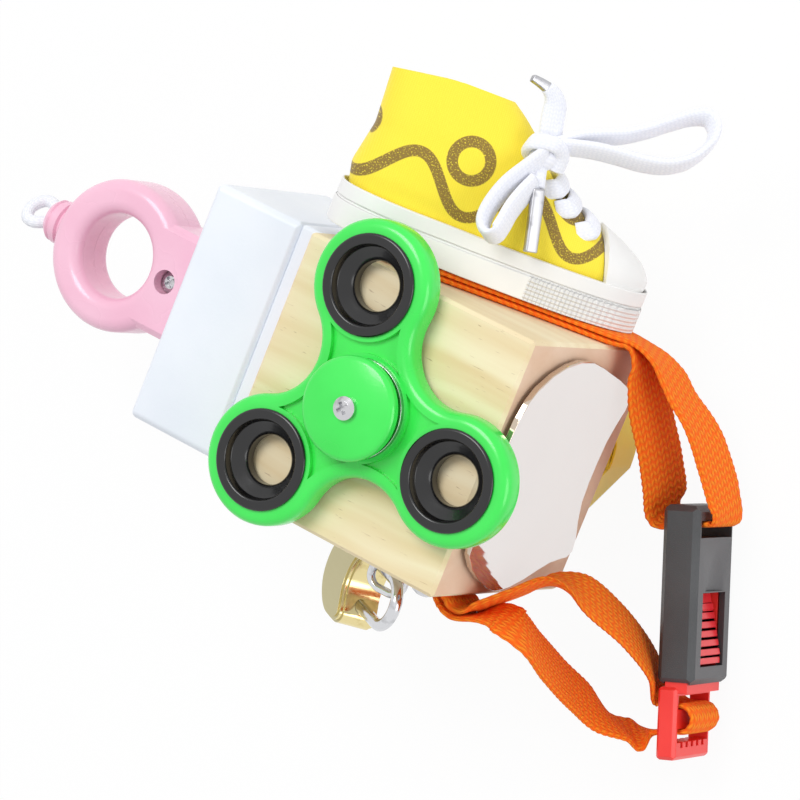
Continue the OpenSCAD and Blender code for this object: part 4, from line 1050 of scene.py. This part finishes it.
WRAP_SIDES = [(0.6, 0.3, 0.8), (0.4, 0.3, 0.9), (0.2, 0.2, 1), (0, 0.2, 1), (0, 0.2, 1),
              (0.5, 0.2, 0.8), (1, 0.2, 0.3), (1, 0.2, 0)]
wrap_turns = [shoe_turn @ side for side in spline(WRAP_SIDES, 8)]
knot = sweep("lace_knot_wrap", from_bow(WRAP), wrap_turns, lambda i, s: oval(3.6 * MM, 2.2 * MM))


def bulge(i):
    """Share of the core's full width at ring i of 20."""
    return math.sin(math.pi * i / 20) ** 0.6


core_line = [from_shoe(bow_centre + Vector((0, -2.6 - 0.05 * k, 1.6 - 0.32 * k)))
             for k in range(21)]
core = sweep("lace_knot_core", core_line, [shoe_turn @ Vector((1, 0, 0))] * len(core_line),
             lambda i, s: oval((0.6 + 6.2 * bulge(i)) * MM, (0.6 + 5.0 * bulge(i)) * MM, 18, 1.0))
for piece in crossing_pieces:
    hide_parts("lace_crossings")
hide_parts("lace_knot")
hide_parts("lace_knot")
print("crossings:", len(crossing_pieces))

# %% Lace tips
TIP_UP = [(-4.4, -2, 12.5), (-6.6, -2.4, 13.1), (-8.7, -2.8, 13.5)]
TIP_DOWN = [(0.8, -7.4, -8.1), (2.3, -9, -14.7), (3.8, -10.4, -21.3)]
for name, points, wide, taper, node in (
        ("lace_tip_metal_up", TIP_UP, 2.6, 0.4, "lace_tip_up"),
        ("lace_tip_metal_down", TIP_DOWN, 3.0, 0.0, "lace_tip_down")):
    line = from_bow(points)
    tip = sweep(name, line, [shoe_turn @ Vector((0.9, 0.3, 0.2))] * len(line),
                lambda i, s: oval(wide * (1 - taper * i / 16) * MM, 1.9 * MM, 20, 0.45))
    edge = tip.modifiers.new("edge", "BEVEL")
    edge.width = 0.25 * MM
    edge.segments = 2
    stand_in(tip, node, "cube", aglet)
for piece in [loop_right, loop_left, end_up, end_down, knot, core] + crossing_pieces:
    piece.data.materials.append(lace_cloth)
    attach(piece, "cube")
print("laces on the cube")

# %% [markdown]
# ## Foam pad, insole and wound cord
# The mirror sits on a square of foam tape, whose sides bulge. The insole is a thin padded sole with
# a raised rim, and the cord on the reel lies in a helix. All three are mostly out of sight.

# %% Foam pad
PAD_HALF, PAD_T, PAD_GAP, PAD_SWELL, SQUARENESS = 17.55, 0.98, 0.03, 0.25, 12
bm = bmesh.new()
rows = []
for k in range(7):
    depth = k / 6
    swell = PAD_SWELL * (math.sin(math.pi * depth) - 1)
    rows.append([])
    for j in range(48):
        a = 2 * math.pi * j / 48
        c, d = math.cos(a), math.sin(a)
        corner = (abs(c) ** SQUARENESS + abs(d) ** SQUARENESS) ** (1 / SQUARENESS)
        reach = (PAD_HALF + swell) / corner
        rows[-1].append(bm.verts.new(Vector((HALF + PAD_GAP + depth * PAD_T, reach * c,
                                             MID_Z + reach * d)) * MM))
for low, high in zip(rows, rows[1:]):
    join(bm, low, high)
bm.faces.new(rows[0])
bm.faces.new(rows[-1])
bmesh.ops.recalc_face_normals(bm, faces=bm.faces)
pad = new_piece("mirror_foam", bm, foam)
soften(pad, 0)
stand_in(pad, "mirror_pad", "cube")
print("foam faces:", len(pad.data.polygons))

# %% Insole and winding
INSOLE_X, INSOLE_LEN, INSOLE_W = -1, 58, 18.6
bm = bmesh.new()
rows = []
for share, z in ((0.0, 8.6), (0.5, 8.65), (0.85, 8.8), (0.97, 9.1), (1.0, 9.0), (1.0, 8.3),
                 (0.9, 8.16), (0.0, 8.16)):
    rows.append([bm.verts.new(from_shoe((INSOLE_X + INSOLE_LEN / 2 * share * x,
                                         INSOLE_W / 2 * share * y, z)))
                 for x, y in map(foot, AROUND)])
for low, high in zip(rows, rows[1:]):
    join(bm, low, high)
bmesh.ops.remove_doubles(bm, verts=bm.verts, dist=0.00001)
bmesh.ops.recalc_face_normals(bm, faces=bm.faces)
insole = new_piece("padded_insole", bm, lace_cloth)
stand_in(insole, "shoe_insole", "cube")

WIND_R, WIND_HALF, WIND_STEP, WIND_COUNT = 7, 2.6, 0.13, 108
reel_box = [cad["cord_winding"].matrix_world @ Vector(c) for c in cad["cord_winding"].bound_box]
reel_mid = sum(reel_box, Vector()) / 8
wind_line = [reel_mid + polar(WIND_R, WIND_STEP * k).to_3d() * MM
             + Vector((0, 0, WIND_HALF * (2 * k / WIND_COUNT - 1))) * MM
             for k in range(WIND_COUNT + 1)]
winding = cord("wound_cord", wind_line, Vector((0, 0, 1)), 2.1, 12)
stand_in(winding, "cord_winding", "reel", cord_cloth)
print("insole and winding:", insole.name, winding.name)

# %% [markdown]
# ## Stage and light
# The picture is a cut-out on white. The floor shows white to the camera and keeps only a faint
# shadow. A large soft light stands above the camera to its left and a second, weaker one low on its
# right, and the surroundings fill the shadows. The strengths are set so that a colour renders about
# as it was written.

# %% Floor
floor_mat, tree, shader = material("floor_white", Roughness=0.9)
shader.inputs["Base Color"].default_value = (0.92, 0.92, 0.92, 1)
glow = add(tree, "ShaderNodeEmission", [("Color", (1, 1, 1, 1)), ("Strength", 1.0)])
path = add(tree, "ShaderNodeLightPath")
seen = maths(tree, "MAXIMUM", path.outputs["Is Camera Ray"], path.outputs["Is Glossy Ray"])
seen = maths(tree, "MAXIMUM", seen, path.outputs["Is Transmission Ray"])
mix = add(tree, "ShaderNodeMixShader", [(0, maths(tree, "MULTIPLY", seen, 0.94)),
                                        (1, shader.outputs[0]), (2, glow.outputs[0])])
tree.links.new(mix.outputs[0], tree.nodes["Material Output"].inputs["Surface"])
bm = bmesh.new()
bmesh.ops.create_grid(bm, x_segments=1, y_segments=1, size=3.0)
floor = new_piece("floor", bm, floor_mat)

world = bpy.data.worlds.new("studio")
bpy.context.scene.world = world
world.use_nodes = True
tree = world.node_tree
tree.nodes.clear()
path = add(tree, "ShaderNodeLightPath")
fill_light = add(tree, "ShaderNodeBackground", [("Color", (0.97, 0.98, 1, 1)), ("Strength", 0.6)])
bright = add(tree, "ShaderNodeBackground", [("Color", (1, 1, 1, 1)), ("Strength", 1.0)])
seen = maths(tree, "MAXIMUM", path.outputs["Is Camera Ray"], path.outputs["Is Glossy Ray"])
mix = add(tree, "ShaderNodeMixShader", [(0, seen), (1, fill_light.outputs[0]),
                                        (2, bright.outputs[0])])
add(tree, "ShaderNodeOutputWorld", [("Surface", mix.outputs[0])])
print("floor and world ready")

# %% Lights
centre = Vector((0, 0, MID_Z)) * MM


def softbox(name, direction, distance, size, power):
    light = bpy.data.lights.new(name, "AREA")
    light.shape = "DISK"
    light.size = size
    light.energy = power
    lamp = bpy.data.objects.new(name, light)
    way = Vector(direction).normalized()
    lamp.location = centre + way * distance
    lamp.rotation_euler = way.to_track_quat("Z", "Y").to_euler()
    bpy.context.scene.collection.objects.link(lamp)


softbox("key", (-0.23, 0.43, 0.88), 1.3, 0.7, 8.8)
softbox("fill", (0.9, 0.15, 0.28), 1.4, 0.9, 5.2)
bpy.context.scene.view_settings.view_transform = "Standard"
